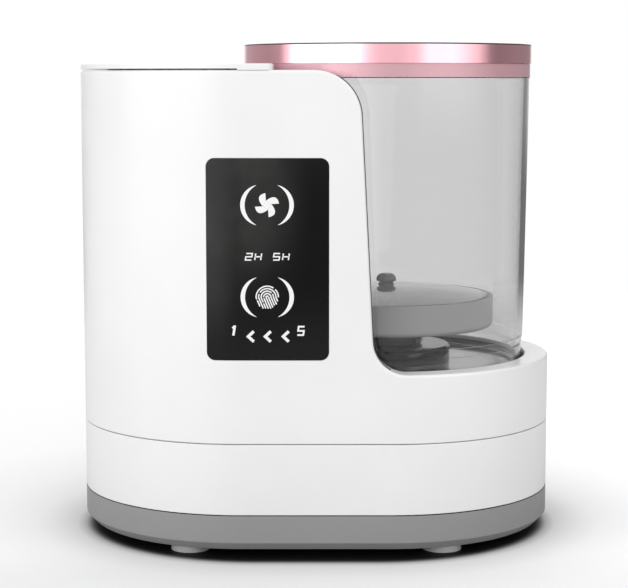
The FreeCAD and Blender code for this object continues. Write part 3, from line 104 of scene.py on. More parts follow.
def own_coords(tree):
    """The shaded point in the piece's own coordinates."""
    return tree.nodes.new("ShaderNodeTexCoord").outputs["Object"]


def own_place(tree):
    """The shaded point's X, Y and Z in the piece's own coordinates."""
    split = tree.nodes.new("ShaderNodeSeparateXYZ")
    tree.links.new(own_coords(tree), split.inputs[0])
    return split.outputs


def noise(mat, scale, detail=3.0, stretch=(1, 1, 1)):
    """Noise over the piece's own coordinates, scale in features per metre."""
    tree = mat.node_tree
    mapping = add(tree, "ShaderNodeMapping", Scale=stretch)
    texture = add(tree, "ShaderNodeTexNoise", Scale=scale, Detail=detail)
    tree.links.new(own_coords(tree), mapping.inputs["Vector"])
    tree.links.new(mapping.outputs[0], texture.inputs["Vector"])
    return texture.outputs["Fac"]


def mix_colours(tree, factor, first, second):
    """The output of a colour mix from first to second."""
    node = tree.nodes.new("ShaderNodeMix")
    node.data_type = "RGBA"
    node.inputs[6].default_value = (*first, 1)
    node.inputs[7].default_value = (*second, 1)
    tree.links.new(factor, node.inputs[0])
    return node.outputs[2]


def feed(mat, socket, output):
    """Links an output to a socket of the material's Principled shader."""
    tree = mat.node_tree
    tree.links.new(output, tree.nodes["Principled BSDF"].inputs[socket])


# Where most of a noise texture's values lie, and the detail of the noise in a grain.
NOISE_SPAN = (0.3, 0.7)
GRAIN_DETAIL = 2.0


def mottle(mat, amount, scale, stretch=(1, 1, 1)):
    """Lets the colour drift by amount about its base value."""
    tree = mat.node_tree
    base = Vector(tree.nodes["Principled BSDF"].inputs["Base Color"].default_value[:3])
    factor = ranged(tree, noise(mat, scale, stretch=stretch), *NOISE_SPAN)
    feed(mat, "Base Color", mix_colours(tree, factor, base * (1 - amount), base * (1 + amount)))


def uneven_gloss(mat, low, high, scale, stretch=(1, 1, 1)):
    """Lets the roughness drift between low and high."""
    factor = noise(mat, scale, stretch=stretch)
    feed(mat, "Roughness", ranged(mat.node_tree, factor, *NOISE_SPAN, low, high))


def grain(mat, depth, height):
    """A bump of that depth in mm, raised by a height from 0 to 1."""
    tree = mat.node_tree
    bump = add(tree, "ShaderNodeBump", Strength=1.0, Distance=depth * MM)
    tree.links.new(height, bump.inputs["Height"])
    feed(mat, "Normal", bump.outputs[0])


def plastic(name, colour, roughness, spread=0.06, depth=0.01, scale=2500, **sockets):
    """Moulded plastic: a slightly uneven gloss and a fine spark-eroded grain."""
    mat = principled(name, colour, roughness, **sockets)
    mottle(mat, amount=0.012, scale=25)
    uneven_gloss(mat, roughness - spread, roughness + spread, scale=60)
    grain(mat, depth, noise(mat, scale, GRAIN_DETAIL))
    return mat


def metal(name, colour, roughness, stretch=(1, 1, 1), depth=0.004, scale=900):
    """Metal with fine tool marks, which run across the axis that stretch raises."""
    mat = principled(name, colour, roughness, Metallic=1.0)
    mottle(mat, amount=0.05, scale=120, stretch=stretch)
    uneven_gloss(mat, roughness * 0.75, roughness * 1.35, scale=300, stretch=stretch)
    grain(mat, depth, noise(mat, scale, GRAIN_DETAIL, stretch))
    return mat


def polished(name, colour, roughness, metallic=1.0):
    """Anodised metal with a mirror polish: no marks, only faint wiping haze in the gloss."""
    mat = principled(name, colour, roughness, Metallic=metallic)
    mottle(mat, amount=0.015, scale=40)
    uneven_gloss(mat, roughness * 0.85, roughness * 1.2, scale=30)
    return mat


# The tint that a clear solid leaves in the light behind it, as a power of its colour.
SHADOW_TINT = 0.25


def glass(name, colour, roughness=0.0, ior=1.47, depth=0.0001, scale=25):
    """A clear solid that bends light and lets the room's light through to what stands in it."""
    mat = principled(name, colour, roughness, IOR=ior, Transmission_Weight=1.0)
    grain(mat, depth, noise(mat, scale, GRAIN_DETAIL))
    tree = mat.node_tree
    path = tree.nodes.new("ShaderNodeLightPath")
    shadow = [channel ** SHADOW_TINT for channel in colour]
    through = add(tree, "ShaderNodeBsdfTransparent", Color=(*shadow, 1))
    mix = tree.nodes.new("ShaderNodeMixShader")
    tree.links.new(path.outputs["Is Shadow Ray"], mix.inputs[0])
    tree.links.new(tree.nodes["Principled BSDF"].outputs[0], mix.inputs[1])
    tree.links.new(through.outputs[0], mix.inputs[2])
    tree.links.new(mix.outputs[0], tree.nodes["Material Output"].inputs["Surface"])
    return mat


# The painted reflection on the panel, a lighter patch painted into its colour: how far its edge leans, where
# it starts and is full as fractions of the panel's height, how far from the panel's right and left edges it
# ends and is full as fractions of its width, how much of it the thinnest break-up leaves, and the colours
# without and with it.
REFLECTION_LEAN = 0.5
REFLECTION_RISE = (0.35, 1.0)
REFLECTION_SIDES = (0.1, 0.35)
REFLECTION_THIN = 0.45
REFLECTION_COLOURS = ((0.006, 0.006, 0.006), (0.048, 0.047, 0.046))
# Where most of the noise that breaks up the painted reflection lies.
REFLECTION_NOISE_SPAN = (0.32, 0.68)


def panel_material():
    """Black glass with a painted reflection: a faint lighter patch painted into its colour over its upper
    left part.
    """
    mat = plastic("panel_black", (0.004, 0.004, 0.0042), 0.09, spread=0.02, depth=0.0006, scale=40,
                  Specular_IOR_Level=0.22)
    tree = mat.node_tree
    place = own_place(tree)
    wide, high = PANEL_HIGH.x - PANEL_LOW.x, PANEL_HIGH.z - PANEL_LOW.z
    rise = maths(tree, "SUBTRACT", place["Z"], maths(tree, "MULTIPLY", place["X"], REFLECTION_LEAN))
    foot = PANEL_LOW.z - REFLECTION_LEAN * PANEL_HIGH.x
    painted_reflection = ranged(tree, rise, foot + REFLECTION_RISE[0] * high, foot + REFLECTION_RISE[1] * high)
    side = ranged(tree, place["X"], PANEL_HIGH.x - REFLECTION_SIDES[0] * wide, PANEL_LOW.x + REFLECTION_SIDES[1] * wide)
    reflection_breakup = ranged(tree, noise(mat, 38, stretch=(1, 1, 0.8)), *REFLECTION_NOISE_SPAN, REFLECTION_THIN, 1.0)
    painted_reflection = maths(tree, "MULTIPLY", maths(tree, "MULTIPLY", painted_reflection, side), reflection_breakup)
    # The painted reflection goes into the glass's base colour.
    feed(mat, "Base Color", mix_colours(tree, painted_reflection, *REFLECTION_COLOURS))
    return mat


def board_material():
    """Green solder mask with the copper tracks showing through as lighter lines."""
    mat = principled("board_green", (0.008, 0.09, 0.035), 0.28)
    tree = mat.node_tree
    cells = add(tree, "ShaderNodeTexVoronoi", Scale=260.0, Randomness=0.55)
    cells.distance = "CHEBYCHEV"
    tree.links.new(own_coords(tree), cells.inputs["Vector"])
    tracks = ranged(tree, cells.outputs["Distance"], 0.33, 0.37)
    feed(mat, "Base Color", mix_colours(tree, tracks, (0.006, 0.075, 0.03), (0.02, 0.17, 0.06)))
    grain(mat, 0.03, tracks)
    return mat


def foam_material():
    """Dark open-cell foam: round pores in the colour and in the bump."""
    mat = principled("open_foam", (0.07, 0.07, 0.075), 0.95)
    tree = mat.node_tree
    pores = add(tree, "ShaderNodeTexVoronoi", Scale=900.0)
    tree.links.new(own_coords(tree), pores.inputs["Vector"])
    wall = ranged(tree, pores.outputs["Distance"], 0.1, 0.6)
    feed(mat, "Base Color", mix_colours(tree, wall, (0.01, 0.01, 0.011), (0.13, 0.13, 0.14)))
    grain(mat, 0.6, wall)
    return mat


def heater_material():
    """Aluminium fins: narrow folds running across the warm air path."""
    mat = metal("heater_fins", (0.8, 0.8, 0.82), 0.3)
    tree = mat.node_tree
    folds = add(tree, "ShaderNodeTexWave", Scale=140.0)
    folds.bands_direction = "Y"
    tree.links.new(own_coords(tree), folds.inputs["Vector"])
    grain(mat, 0.8, folds.outputs["Fac"])
    return mat


WHITE = (0.87, 0.87, 0.875)
GLOSSY = dict(Coat_Weight=0.35, Coat_Roughness=0.12)
# The finish of each material slot, and then those that only single pieces wear.
FINISHES = {
    "white_shell": plastic("shell_white", WHITE, 0.34, **GLOSSY),
    "white_cover": plastic("cover_white", WHITE, 0.32, **GLOSSY),
    "white_inner": plastic("inner_white", (0.52, 0.52, 0.53), 0.38),
    "grey_base": plastic("base_grey", (0.295, 0.295, 0.3), 0.5, depth=0.03, scale=1600),
    "foot_rubber": plastic("foot_rubber", (0.4, 0.4, 0.405), 0.6, depth=0.03, scale=900),
    "seal_silicone": plastic("silicone", (0.5, 0.5, 0.51), 0.45, depth=0.02),
    "panel_glass": panel_material(),
    "gasket": plastic("gasket_black", (0.01, 0.01, 0.01), 0.9, depth=0.05),
    "rose_metal": polished("rose_gold", (0.99, 0.53, 0.59), 0.1),
    "rose_ring": polished("rose_ring", (0.68, 0.40, 0.445), 0.27, metallic=0.34),
    "clear_jar": glass("jar_clear", (0.815, 0.815, 0.818)),
    "clear_cover": glass("cover_clear", (0.93, 0.93, 0.935), 0.03, ior=1.49),
    "clear_knob": plastic("knob_clear", (0.46, 0.46, 0.465), 0.2, spread=0.04, depth=0.001,
                          IOR=1.3, Transmission_Weight=0.45),
    "smoked": glass("smoked_clear", (0.13, 0.13, 0.135), 0.04, ior=1.5),
    "circuit_board": board_material(),
    "components": plastic("component_black", (0.02, 0.02, 0.022), 0.45, depth=0.02),
    "contact_steel": metal("zinc_plate", (0.66, 0.67, 0.68), 0.3),
    "shaft_steel": metal("ground_steel", (0.68, 0.68, 0.69), 0.18, stretch=(1, 1, 12)),
    "plate_steel": metal("galvanised", (0.6, 0.61, 0.62), 0.42, scale=90, depth=0.02),
    "motor_can": metal("plated_can", (0.62, 0.62, 0.64), 0.26, stretch=(1, 1, 8)),
    "bronze": metal("sintered_bronze", (0.62, 0.4, 0.19), 0.5, depth=0.02, scale=1500),
    "gear_nylon": plastic("acetal", (0.8, 0.78, 0.7), 0.4),
    "pinion_brass": metal("turned_brass", (0.78, 0.57, 0.25), 0.22, stretch=(1, 1, 12)),
    "fan_black": plastic("fan_black", (0.018, 0.018, 0.018), 0.5, depth=0.02),
    "duct_plastic": plastic("duct_white", (0.72, 0.72, 0.7), 0.5, depth=0.02),
    "heater": heater_material(),
    "filter_foam": foam_material(),
    "filter_plastic": plastic("filter_white", (0.68, 0.68, 0.68), 0.5, depth=0.02),
    "wire": plastic("wire_black", (0.02, 0.02, 0.02), 0.55, depth=0.02),
    # Painted shade: the grey of the rings in the well.
    "well_shade_grey": plastic("well_shade_grey", (0.13, 0.13, 0.132), 0.5, depth=0.02),
    # Painted shade: the dark strip along the tower's cut edge.
    "edge_shade_grey": plastic("edge_shade_grey", (0.09, 0.09, 0.092), 0.6, depth=0.02),
    "post_grey": plastic("post_grey", (0.3, 0.3, 0.302), 0.25),
    # Painted reflection: the dark ring on the lid's bevel.
    "rose_dark": polished("rose_dark", (0.13, 0.075, 0.08), 0.35),
    "hub_dark": plastic("hub_dark", (0.035, 0.035, 0.036), 0.1, spread=0.03, depth=0.001,
                        Coat_Weight=0.5, Coat_Roughness=0.04),
    "panel_ink": plastic("panel_ink", (0.9, 0.9, 0.9), 0.5, spread=0.02, depth=0.002),
}


def dress(piece, slot):
    """Gives a piece the one finish of a material slot."""
    piece.data.materials.clear()
    piece.data.materials.append(FINISHES[slot])


BEVEL_FROM = math.radians(40)


def soften_edges(node, width):
    """Rounds a CAD node's sharp edges for the eye, by that many mm."""
    bevel = frame["nodes"][node].modifiers.new("soft_edges", "BEVEL")
    bevel.width = width * MM
    bevel.segments = 3
    bevel.limit_method = "ANGLE"
    bevel.angle_limit = BEVEL_FROM


for subpart in frame["record"]["subparts"]:
    dress(frame["nodes"][subpart["node"]], subpart["material_slot"])
dress(frame["nodes"]["turntable_hub"], "hub_dark")
soften_edges("touch_panel", 0.45)


# ---------------------------------------------------------------- outlines

def arc(centre, radius, start, end, steps=24):
    """Points on an arc, angles in degrees."""
    turn = [math.radians(start + (end - start) * i / steps) for i in range(steps + 1)]
    return [(centre[0] + radius * math.cos(a), centre[1] + radius * math.sin(a)) for a in turn]


def straight(start, end, steps=12):
    """Evenly spaced points on a straight line."""
    across, up = end[0] - start[0], end[1] - start[1]
    return [(start[0] + across * i / steps, start[1] + up * i / steps) for i in range(steps + 1)]


def curve(start, first, second, end, steps=12):
    """Points on a cubic Bezier curve."""
    points = []
    for i in range(steps + 1):
        u = i / steps
        weights = ((1 - u) ** 3, 3 * u * (1 - u) ** 2, 3 * u * u * (1 - u), u ** 3)
        weighted = list(zip(weights, (start, first, second, end)))
        points.append(tuple(sum(weight * point[k] for weight, point in weighted) for k in (0, 1)))
    return points


def place(points, centre, degrees=0.0):
    """The points turned about the origin and moved to centre."""
    c, s = math.cos(math.radians(degrees)), math.sin(math.radians(degrees))
    return [(centre[0] + c * x - s * z, centre[1] + s * x + c * z) for x, z in points]


def sagitta_arc(side, reach, tip_x, tip_z):
    """An arc from (tip_x, tip_z) to (tip_x, -tip_z) that bulges out to reach, on that side."""
    rise = reach - tip_x
    radius = (rise ** 2 + tip_z ** 2) / (2 * rise)
    half = math.degrees(math.asin(min(1, tip_z / radius)))
    points = arc((reach - radius, 0), radius, half, -half)
    return [(side * x, z) for x, z in points]


# ---------------------------------------------------------------- meshes

WELD = 1e-6
SHARP_FROM = math.radians(35)
END_STEPS = 60


def new_piece(name, bm, body, slot, finish=None, stands_for=()):
    """A mesh object from bm, with outward faces, riding on a body in its slot's finish or another one."""
    bmesh.ops.remove_doubles(bm, verts=bm.verts, dist=WELD)
    bmesh.ops.recalc_face_normals(bm, faces=bm.faces)
    mesh = bpy.data.meshes.new(name)
    bm.to_mesh(mesh)
    bm.free()
    piece = bpy.data.objects.new(name, mesh)
    bpy.context.scene.collection.objects.link(piece)
    mesh.materials.append(FINISHES[finish or slot])
    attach(piece, body)
    if stands_for:
        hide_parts(*stands_for)
    return piece


def bridge(bm, first, second, closed=True):
    """Faces between two rows of vertices, which return to their start if closed."""
    for k in range(len(first) if closed else len(first) - 1):
        j = (k + 1) % len(first)
        corners = (first[k], first[j], second[j], second[k])
        bm.faces.new(list(dict.fromkeys(corners)))


def closed_strip(bm, rows):
    """A skin round rows of vertices that run side by side, with a face at each end."""
    for first, second in zip(rows, rows[1:] + rows[:1]):
        bridge(bm, first, second, closed=False)
    for end in (0, -1):
        bm.faces.new([row[end] for row in rows])


def lathe(name, profile, body, slot, finish=None, stands_for=(), steps=128):
    """A closed ring or solid of revolution about the jar's axis, from (radius, z) points in mm."""
    bm = bmesh.new()
    turns = [math.tau * k / steps for k in range(steps)]
    rings = []
    for radius, z in profile:
        reach = radius * MM
        if radius == 0:
            rings.append([bm.verts.new((JAR_AXIS, 0, z * MM))] * steps)
        else:
            rings.append([bm.verts.new((JAR_AXIS + reach * math.cos(a), reach * math.sin(a), z * MM))
                          for a in turns])
    pairs = list(zip(rings, rings[1:]))
    if profile[0][0] > 0:
        pairs.append((rings[-1], rings[0]))
    for low, high in pairs:
        bridge(bm, low, high)
    for face in bm.faces:
        face.smooth = True
    piece = new_piece(name, bm, body, slot, finish, stands_for)
    piece.data.set_sharp_from_angle(angle=SHARP_FROM)
    return piece


def stadium_band(name, low, high, inset, proud, body, slot, finish=None):
    """A thin closed band round the housing, from z low to high and inset to proud of its wall, in mm."""
    bm = bmesh.new()
    loops = []
    for offset, z in ((-inset, low), (proud, low), (proud, high), (-inset, high)):
        radius = END_RADIUS + offset * MM
        right = arc((HALF_FLAT, 0), radius, -90, 90, END_STEPS)
        left = arc((-HALF_FLAT, 0), radius, 90, 270, END_STEPS)
        loops.append([bm.verts.new((x, y, z * MM)) for x, y in right + left])
    for first, second in zip(loops, loops[1:] + loops[:1]):
        bridge(bm, first, second)
    return new_piece(name, bm, body, slot, finish)


# ---------------------------------------------------------------- printed panel

# How deep in the glass the ink starts and how far it stands out, in mm.
PRINT_LOW, PRINT_HIGH = -0.05, 0.03
# A sharp corner's mitre is cut short at this cosine of half its turn.
MITRE_LEAST = 0.3


def on_front(x, z, proud):
    """The point of the front face that is x and z from the panel's middle, in mm, moved out by proud."""
    x, z = x + PANEL_MIDDLE.x / MM, z + PANEL_MIDDLE.z / MM
    radius = END_RADIUS / MM + proud
    over = abs(x) - HALF_FLAT / MM
    y = -radius if over <= 0 else -math.sqrt(radius ** 2 - over ** 2)
    return Vector((x, y, z)) * MM


def ribbon(bm, left, right):
    """A thin closed strip of ink between two rows of (x, z) points on the front face."""
    edges = ((left, PRINT_HIGH), (right, PRINT_HIGH), (right, PRINT_LOW), (left, PRINT_LOW))
    closed_strip(bm, [[bm.verts.new(on_front(x, z, proud)) for x, z in side] for side, proud in edges])


def stroke(bm, points, width):
    """A line of even width through the points, with mitred corners."""
    left, right = [], []
    for i, (x, z) in enumerate(points):
        ahead = Vector(points[min(i + 1, len(points) - 1)]) - Vector(points[i])
        behind = Vector(points[i]) - Vector(points[max(i - 1, 0)])
        ahead = (ahead if ahead.length else behind).normalized()
        behind = (behind if behind.length else ahead).normalized()
        along = (ahead + behind).normalized()
        across = Vector((-along.y, along.x)) * (width / 2 / max(along.dot(ahead), MITRE_LEAST))
        left.append((x + across.x, z + across.y))
        right.append((x - across.x, z - across.y))
    ribbon(bm, left, right)


# The print's places, from the panel's middle, and its sizes, in mm.
FAN_KEY = (-0.2, 23.1)
TOUCH_KEY = (-0.2, -15.8)
# The edges of a key's bracket: how far each reaches from the key's centre, and its tip.
BRACKET_OUTER = (11.27, 4.6, 8.4)
BRACKET_INNER = (9.38, 4.55, 8.3)
# One blade of the fan sign: its straight edge from notch to tip, and its swept edge.
BLADE_NOTCH, BLADE_TIP = (-0.46, 1.87), (-0.66, 5.05)
BLADE_SWEEP = ((-1.84, -0.42), (-3.5, 1.5), (-4.6, 4.3), (-0.71, 5.05))
FAN_HUB = ((-1.82, -0.45), (-0.45, 1.82), (0.45, -1.82), (1.82, 0.45))
# The whorl's arches, their leaning legs, the oval they are cut to and where each one is broken.
RIDGE_PITCH, RIDGE_LINE, RIDGE_LEAN = 1.05, 0.54, 0.42
RIDGE_OVAL = (4.85, 5.2)
RIDGE_BREAKS = ((0.66,), (0.3,), (0.17, 0.7), (0.44,), (0.27, 0.8))
LEG_STEPS, ARCH_STEPS = 12, 16
# Characters: the lower left corner, the width and height, and the width of the line.
LEGEND_LEAN = 0.16
TIMERS = {"2H": (-9.35, 0.0), "5H": (2.3, 0.0)}
TIMER_SIZE, TIMER_LINE, TIMER_PITCH = (2.5, 2.75), 0.55, 3.93
SPEEDS = {"1": ((-15.4, -32.1), (1.9, 3.8), 1.0), "5": ((12.5, -31.9), (2.45, 3.6), 0.75)}
CHEVRONS = ((-8.3, -34.72), (-1.1, -34.72), (6.5, -34.72))
CHEVRON_SIZE, CHEVRON_LINE = (2.35, 4.4), 1.26
GLYPHS = {
    "1": [[(0.0, 0.8), (0.3, 1.0), (0.42, 1.0), (0.42, 0.0)]],
    "2": [[(0, 1), (1, 1), (1, 0.5), (0, 0.5), (0, 0), (1, 0)]],
    "5": [[(1, 1), (0, 1), (0, 0.5), (1, 0.5), (1, 0), (0, 0)]],
    "H": [[(0, 0), (0, 1)], [(1, 0), (1, 1)], [(0, 0.5), (1, 0.5)]],
    "<": [[(1, 1), (0, 0.5), (1, 0)]],
}


def write(bm, text, corner, size, line, pitch=0.0, lean=LEGEND_LEAN):
    """Squared characters from their lower left corner."""
    for k, character in enumerate(text):
        for points in GLYPHS[character]:
            moved = [(size[0] * x, size[1] * z) for x, z in points]
            leaning = [(corner[0] + k * pitch + x + lean * z, corner[1] + z) for x, z in moved]
            stroke(bm, leaning, line)


def key_brackets(bm, centre):
    """The two crescents that stand round a touch key."""
    for side in (-1, 1):
        outer = sagitta_arc(side, *BRACKET_OUTER)
        inner = sagitta_arc(side, *BRACKET_INNER)
        ribbon(bm, place(outer, centre), place(inner, centre))


def fan_sign(bm, centre):
    """Four swept blades about a square hub."""
    for quarter in range(4):
        swept, edge = curve(*BLADE_SWEEP), straight(BLADE_NOTCH, BLADE_TIP)
        ribbon(bm, place(swept, centre, 90 * quarter), place(edge, centre, 90 * quarter))
    corners = place(FAN_HUB, centre)
    ribbon(bm, (corners[0], corners[2]), (corners[1], corners[3]))


def ridge_sign(bm, centre):
    """A generic whorl: nested arches with leaning legs, cut to an oval and broken in places."""
    for k, breaks in enumerate(RIDGE_BREAKS):
        radius = RIDGE_PITCH * (k + 0.5)
        drops = [RIDGE_OVAL[1] * i / LEG_STEPS for i in range(1, LEG_STEPS + 1)]
        left = [(-radius + RIDGE_LEAN * drop, -drop) for drop in reversed(drops)]
        right = [(radius + RIDGE_LEAN * drop, -drop) for drop in drops]
        path = left + arc((0, 0), radius, 180, 0, ARCH_STEPS) + right
        path = [(x, z) for x, z in path if (x / RIDGE_OVAL[0]) ** 2 + (z / RIDGE_OVAL[1]) ** 2 <= 1]
        cuts = [0] + [round(fraction * len(path)) for fraction in breaks] + [len(path)]
        for start, end in zip(cuts, cuts[1:]):
            stroke(bm, place(path[start:end], centre), RIDGE_LINE)


def printed_pieces():
    """The white print on the touch panel, one piece for each key or row."""
    fan_key, touch_key, timers, speeds = (bmesh.new() for _ in range(4))
    key_brackets(fan_key, FAN_KEY)
    fan_sign(fan_key, FAN_KEY)
    key_brackets(touch_key, TOUCH_KEY)
    ridge_sign(touch_key, TOUCH_KEY)
    for text, corner in TIMERS.items():
        write(timers, text, corner, TIMER_SIZE, TIMER_LINE, TIMER_PITCH)
    for text, (corner, size, line) in SPEEDS.items():
        write(speeds, text, corner, size, line)
    for corner in CHEVRONS:
        write(speeds, "<", corner, CHEVRON_SIZE, CHEVRON_LINE, lean=0.0)
    signs = {"print_fan_key": fan_key, "print_touch_key": touch_key, "print_timers": timers,
             "print_speeds": speeds}
    for name, bm in signs.items():
        new_piece(name, bm, "housing", "panel_glass", "panel_ink")


# ---------------------------------------------------------------- painted shade and shadow pieces, rim band and post

# The tower's cut edge, in mm: the centres and radii of its upper corner and its root, and the edge's slope,
# with the angles between which the dark strip painted as its shade follows them, in degrees.
CORNER_CENTRE, CORNER_RADIUS = (-0.94, 188.0), 20.0
ROOT_CENTRE, ROOT_RADIUS = (38.95, 94.3), 15.0
EDGE_SLOPE = 2.96
SHADE_STRIP_START, SHADE_STRIP_END = 62, 240
# How far the painted shade strip lies inside and outside the edge, and the depths between which it runs, in
# mm.
SHADE_STRIP_INSET, SHADE_STRIP_PROUD = 0.1, 0.42
SHADE_STRIP_OUT, SHADE_STRIP_IN = 72.9, 71.2
# Rings about the jar's axis, in mm: radii, and heights over what they lie on.
CLEARANCE = 0.02
# Grey rings painted as the shade on the well's floor and low on its wall.
SHADE_RING_INNER, SHADE_RING_OUTER, SHADE_RING_RISE = 48.0, 61.8, 0.62
SHADE_RING_BEVEL, SHADE_RING_BEVEL_DROP = 0.6, 0.17
SHADE_LINING_INNER, SHADE_LINING_OUTER = 63.75, 63.97
SHADE_LINING_FOOT, SHADE_LINING_RISE = 0.1, 5.6
# The waisted post's side, as (radius, height over the post's foot) in mm.
POST_SIDE = ((5.4, 0.02), (5.3, 1.4), (4.5, 4.0), (3.75, 6.6), (3.6, 8.2), (3.9, 10.2), (4.4, 12.0),
             (4.5, 13.0), (4.1, 13.4))
POST_STEPS = 64
# The rim's band and the black ring painted as the shadow in the gap under it, in mm.
RIM_DEPTH, RIM_BEVEL = 0.9, 0.12
GAP_INSET, GAP_DROP = 0.25, 0.32
RIM_STEPS = 192
# The section of the dark ring painted as the dark reflection on the lid's bevel, from the lid's outer radius
# and its top, in mm.
LID_REFLECTION = ((-0.8, -0.48), (0.03, -0.48), (0.03, -0.4), (-0.44, 0.06), (-0.8, 0.06))
# The black band painted as the shadow in the seam over the base: how far under and over the housing's lower
# edge it reaches, its depth, and how far it stands out, in mm.
SEAM_BELOW, SEAM_ABOVE, SEAM_DEPTH, SEAM_PROUD = 0.15, 0.25, 0.4, 0.02


def round_size(node):
    """The outer radius, the underside and the top of a round node, in mm."""
    low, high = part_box(node)
    return (high.y - low.y) / 2 / MM, low.z / MM, high.z / MM


def ring_section(inner, outer, low, high):
    """The rectangular section of a ring."""
    return [(inner, low), (outer, low), (outer, high), (inner, high)]


def edge_shade_strip():
    """Thin dark strips standing in for the shade along the tower's cut edge, one at the front and one at the
    back.
    """
    bm = bmesh.new()
    for side in (-1, 1):
        paths = []
        for offset in (-SHADE_STRIP_INSET, SHADE_STRIP_PROUD):
            corner = arc(CORNER_CENTRE, CORNER_RADIUS + offset, SHADE_STRIP_START, EDGE_SLOPE)
            root = arc(ROOT_CENTRE, ROOT_RADIUS - offset, 180 + EDGE_SLOPE, SHADE_STRIP_END)
            paths.append(corner + root)
        inner, outer = paths
        section = ((inner, SHADE_STRIP_OUT), (inner, SHADE_STRIP_IN), (outer, SHADE_STRIP_IN), (outer, SHADE_STRIP_OUT))
        rows = [[bm.verts.new(Vector((x, side * y, z)) * MM) for x, z in path] for path, y in section]
        closed_strip(bm, rows)
    new_piece("edge_shade_strip", bm, "housing", "gasket", "edge_shade_grey")


def well_shade_rings():
    """Grey rings standing in for the shade in the well: one on its floor and one low on its wall."""
    floor = round_size("jar_seat")[2]
    low, high = floor + CLEARANCE, floor + SHADE_RING_RISE
    shoulder = high - SHADE_RING_BEVEL_DROP
    # A grey ring painted as the shade on the well's floor.
    gasket = [(SHADE_RING_INNER, low), (SHADE_RING_OUTER, low), (SHADE_RING_OUTER, shoulder),
              (SHADE_RING_OUTER - SHADE_RING_BEVEL, high), (SHADE_RING_INNER + SHADE_RING_BEVEL, high),
              (SHADE_RING_INNER, shoulder)]
    lathe("seat_shade_ring", gasket, "housing", "seal_silicone", "well_shade_grey")
    # A grey ring painted as the shade low on the well's wall.
    wall_shade = ring_section(SHADE_LINING_INNER, SHADE_LINING_OUTER, floor + SHADE_LINING_FOOT, floor + SHADE_LINING_RISE)
    lathe("well_shade_lining", wall_shade, "housing", "seal_silicone", "well_shade_grey")


def waisted_post():
    """The waisted post under the clear cover, which stands for the plain one."""
    foot = round_size("centre_post")[1]
    side = [(radius, foot + height) for radius, height in POST_SIDE]
    profile = [(0, side[0][1])] + side + [(0, side[-1][1])]
    lathe("post_waisted", profile, "carrier", "white_inner", "post_grey", ["centre_post"], POST_STEPS)


def rim_pieces():
    """The jar's rim ring as an evenly divided band, and a black ring under it that stands in for the shadow
    in the gap.
    """
    outer, bottom, top = round_size("jar_rim_ring")
    inner = outer - RIM_DEPTH
    band = [(inner, bottom), (outer - RIM_BEVEL, bottom), (outer, bottom + RIM_BEVEL),
            (outer, top - RIM_BEVEL), (outer - RIM_BEVEL, top), (inner, top)]
    lathe("rim_band", band, "jar", "rose_ring", stands_for=["jar_rim_ring"], steps=RIM_STEPS)
    # A black ring painted as the shadow in the gap under the band.
    gap = ring_section(inner, outer - GAP_INSET, bottom - GAP_DROP, bottom - CLEARANCE)
    lathe("rim_shadow", gap, "jar", "seal_silicone", "gasket", steps=RIM_STEPS)


def lid_dark_reflection():
    """A thin dark ring standing in for the dark reflection on the lid's bevel."""
    outer, _, top = round_size("lid_cap")
    section = [(outer + across, top + up) for across, up in LID_REFLECTION]
    lathe("lid_bevel_reflection", section, "lid", "rose_metal", "rose_dark", steps=RIM_STEPS)


def base_seam_shadow():
    """A black band standing in for the shadow in the seam between the base and the housing."""
    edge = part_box("lower_housing")[0].z / MM
    low, high = edge - SEAM_BELOW, edge + SEAM_ABOVE
    stadium_band("base_seam_shadow", low, high, SEAM_DEPTH, SEAM_PROUD, "housing", "gasket")


printed_pieces()
edge_shade_strip()
well_shade_rings()
waisted_post()
rim_pieces()
lid_dark_reflection()
base_seam_shadow()


# ---------------------------------------------------------------- studio

# How bright the room looks in a glossy surface, by azimuth in degrees from straight in front towards +X.
ROOM_HIGH = ((-180, 1.05), (-168, 1.0), (-155, 0.5), (-110, 0.4), (-96, 0.46), (-88, 1.2), (-80, 2.6),
             (-30, 2.6), (-17, 1.3), (-10, 1.0), (8, 0.95), (20, 1.15), (30, 1.9), (50, 1.9), (62, 1.5),
             (74, 1.05), (86, 0.34), (94, 0.26), (120, 0.3), (155, 0.3), (168, 1.0), (180, 1.05))
ROOM_LOW = ((-180, 0.3), (-150, 0.4), (-60, 1.8), (-16, 1.2), (-5, 0.24), (4, 0.2), (20, 0.26), (100, 0.26),
            (140, 0.18), (180, 0.2))
ROOM_PEAK = 2.6
# Between these heights of the view, the room's lower part gives way to its upper part.
ROOM_SPLIT = (-0.07, 0.0)
# The dark middle of the ceiling, as the lid's bevel mirrors it: where it starts and what it leaves.
CEILING_EDGE, CEILING = (0.75, 0.95), 0.18
# The soft light on everything else: its strength at the horizon and overhead, the side it comes from, and
# how far it leans that way.
DOME_LOW, DOME_HIGH = 0.84, 1.17
DOME_SIDE = Vector((-0.52, -0.85, 0)).normalized()
DOME_LEAN = 0.5
# A view ray that has crossed more faces than this has left the jar again, and sees the white background.
FACES_OF_JAR = 3.5


def grey_ramp(tree, factor, steps):
    """A colour ramp of greys, from (position, level) steps."""
    ramp = tree.nodes.new("ShaderNodeValToRGB")
    elements = ramp.color_ramp.elements
    while len(elements) > 1:
        elements.remove(elements[-1])
    for k, (position, level) in enumerate(steps):
        element = elements[0] if k == 0 else elements.new(position)
        element.position = position
        element.color = (level, level, level, 1)
    tree.links.new(factor, ramp.inputs[0])
    return ramp.outputs[0]


def azimuth_ramp(tree, azimuth, levels):
    """The room's brightness round the compass, as a fraction of its peak."""
    return grey_ramp(tree, azimuth, [((degrees + 180) / 360, level / ROOM_PEAK) for degrees, level in levels])


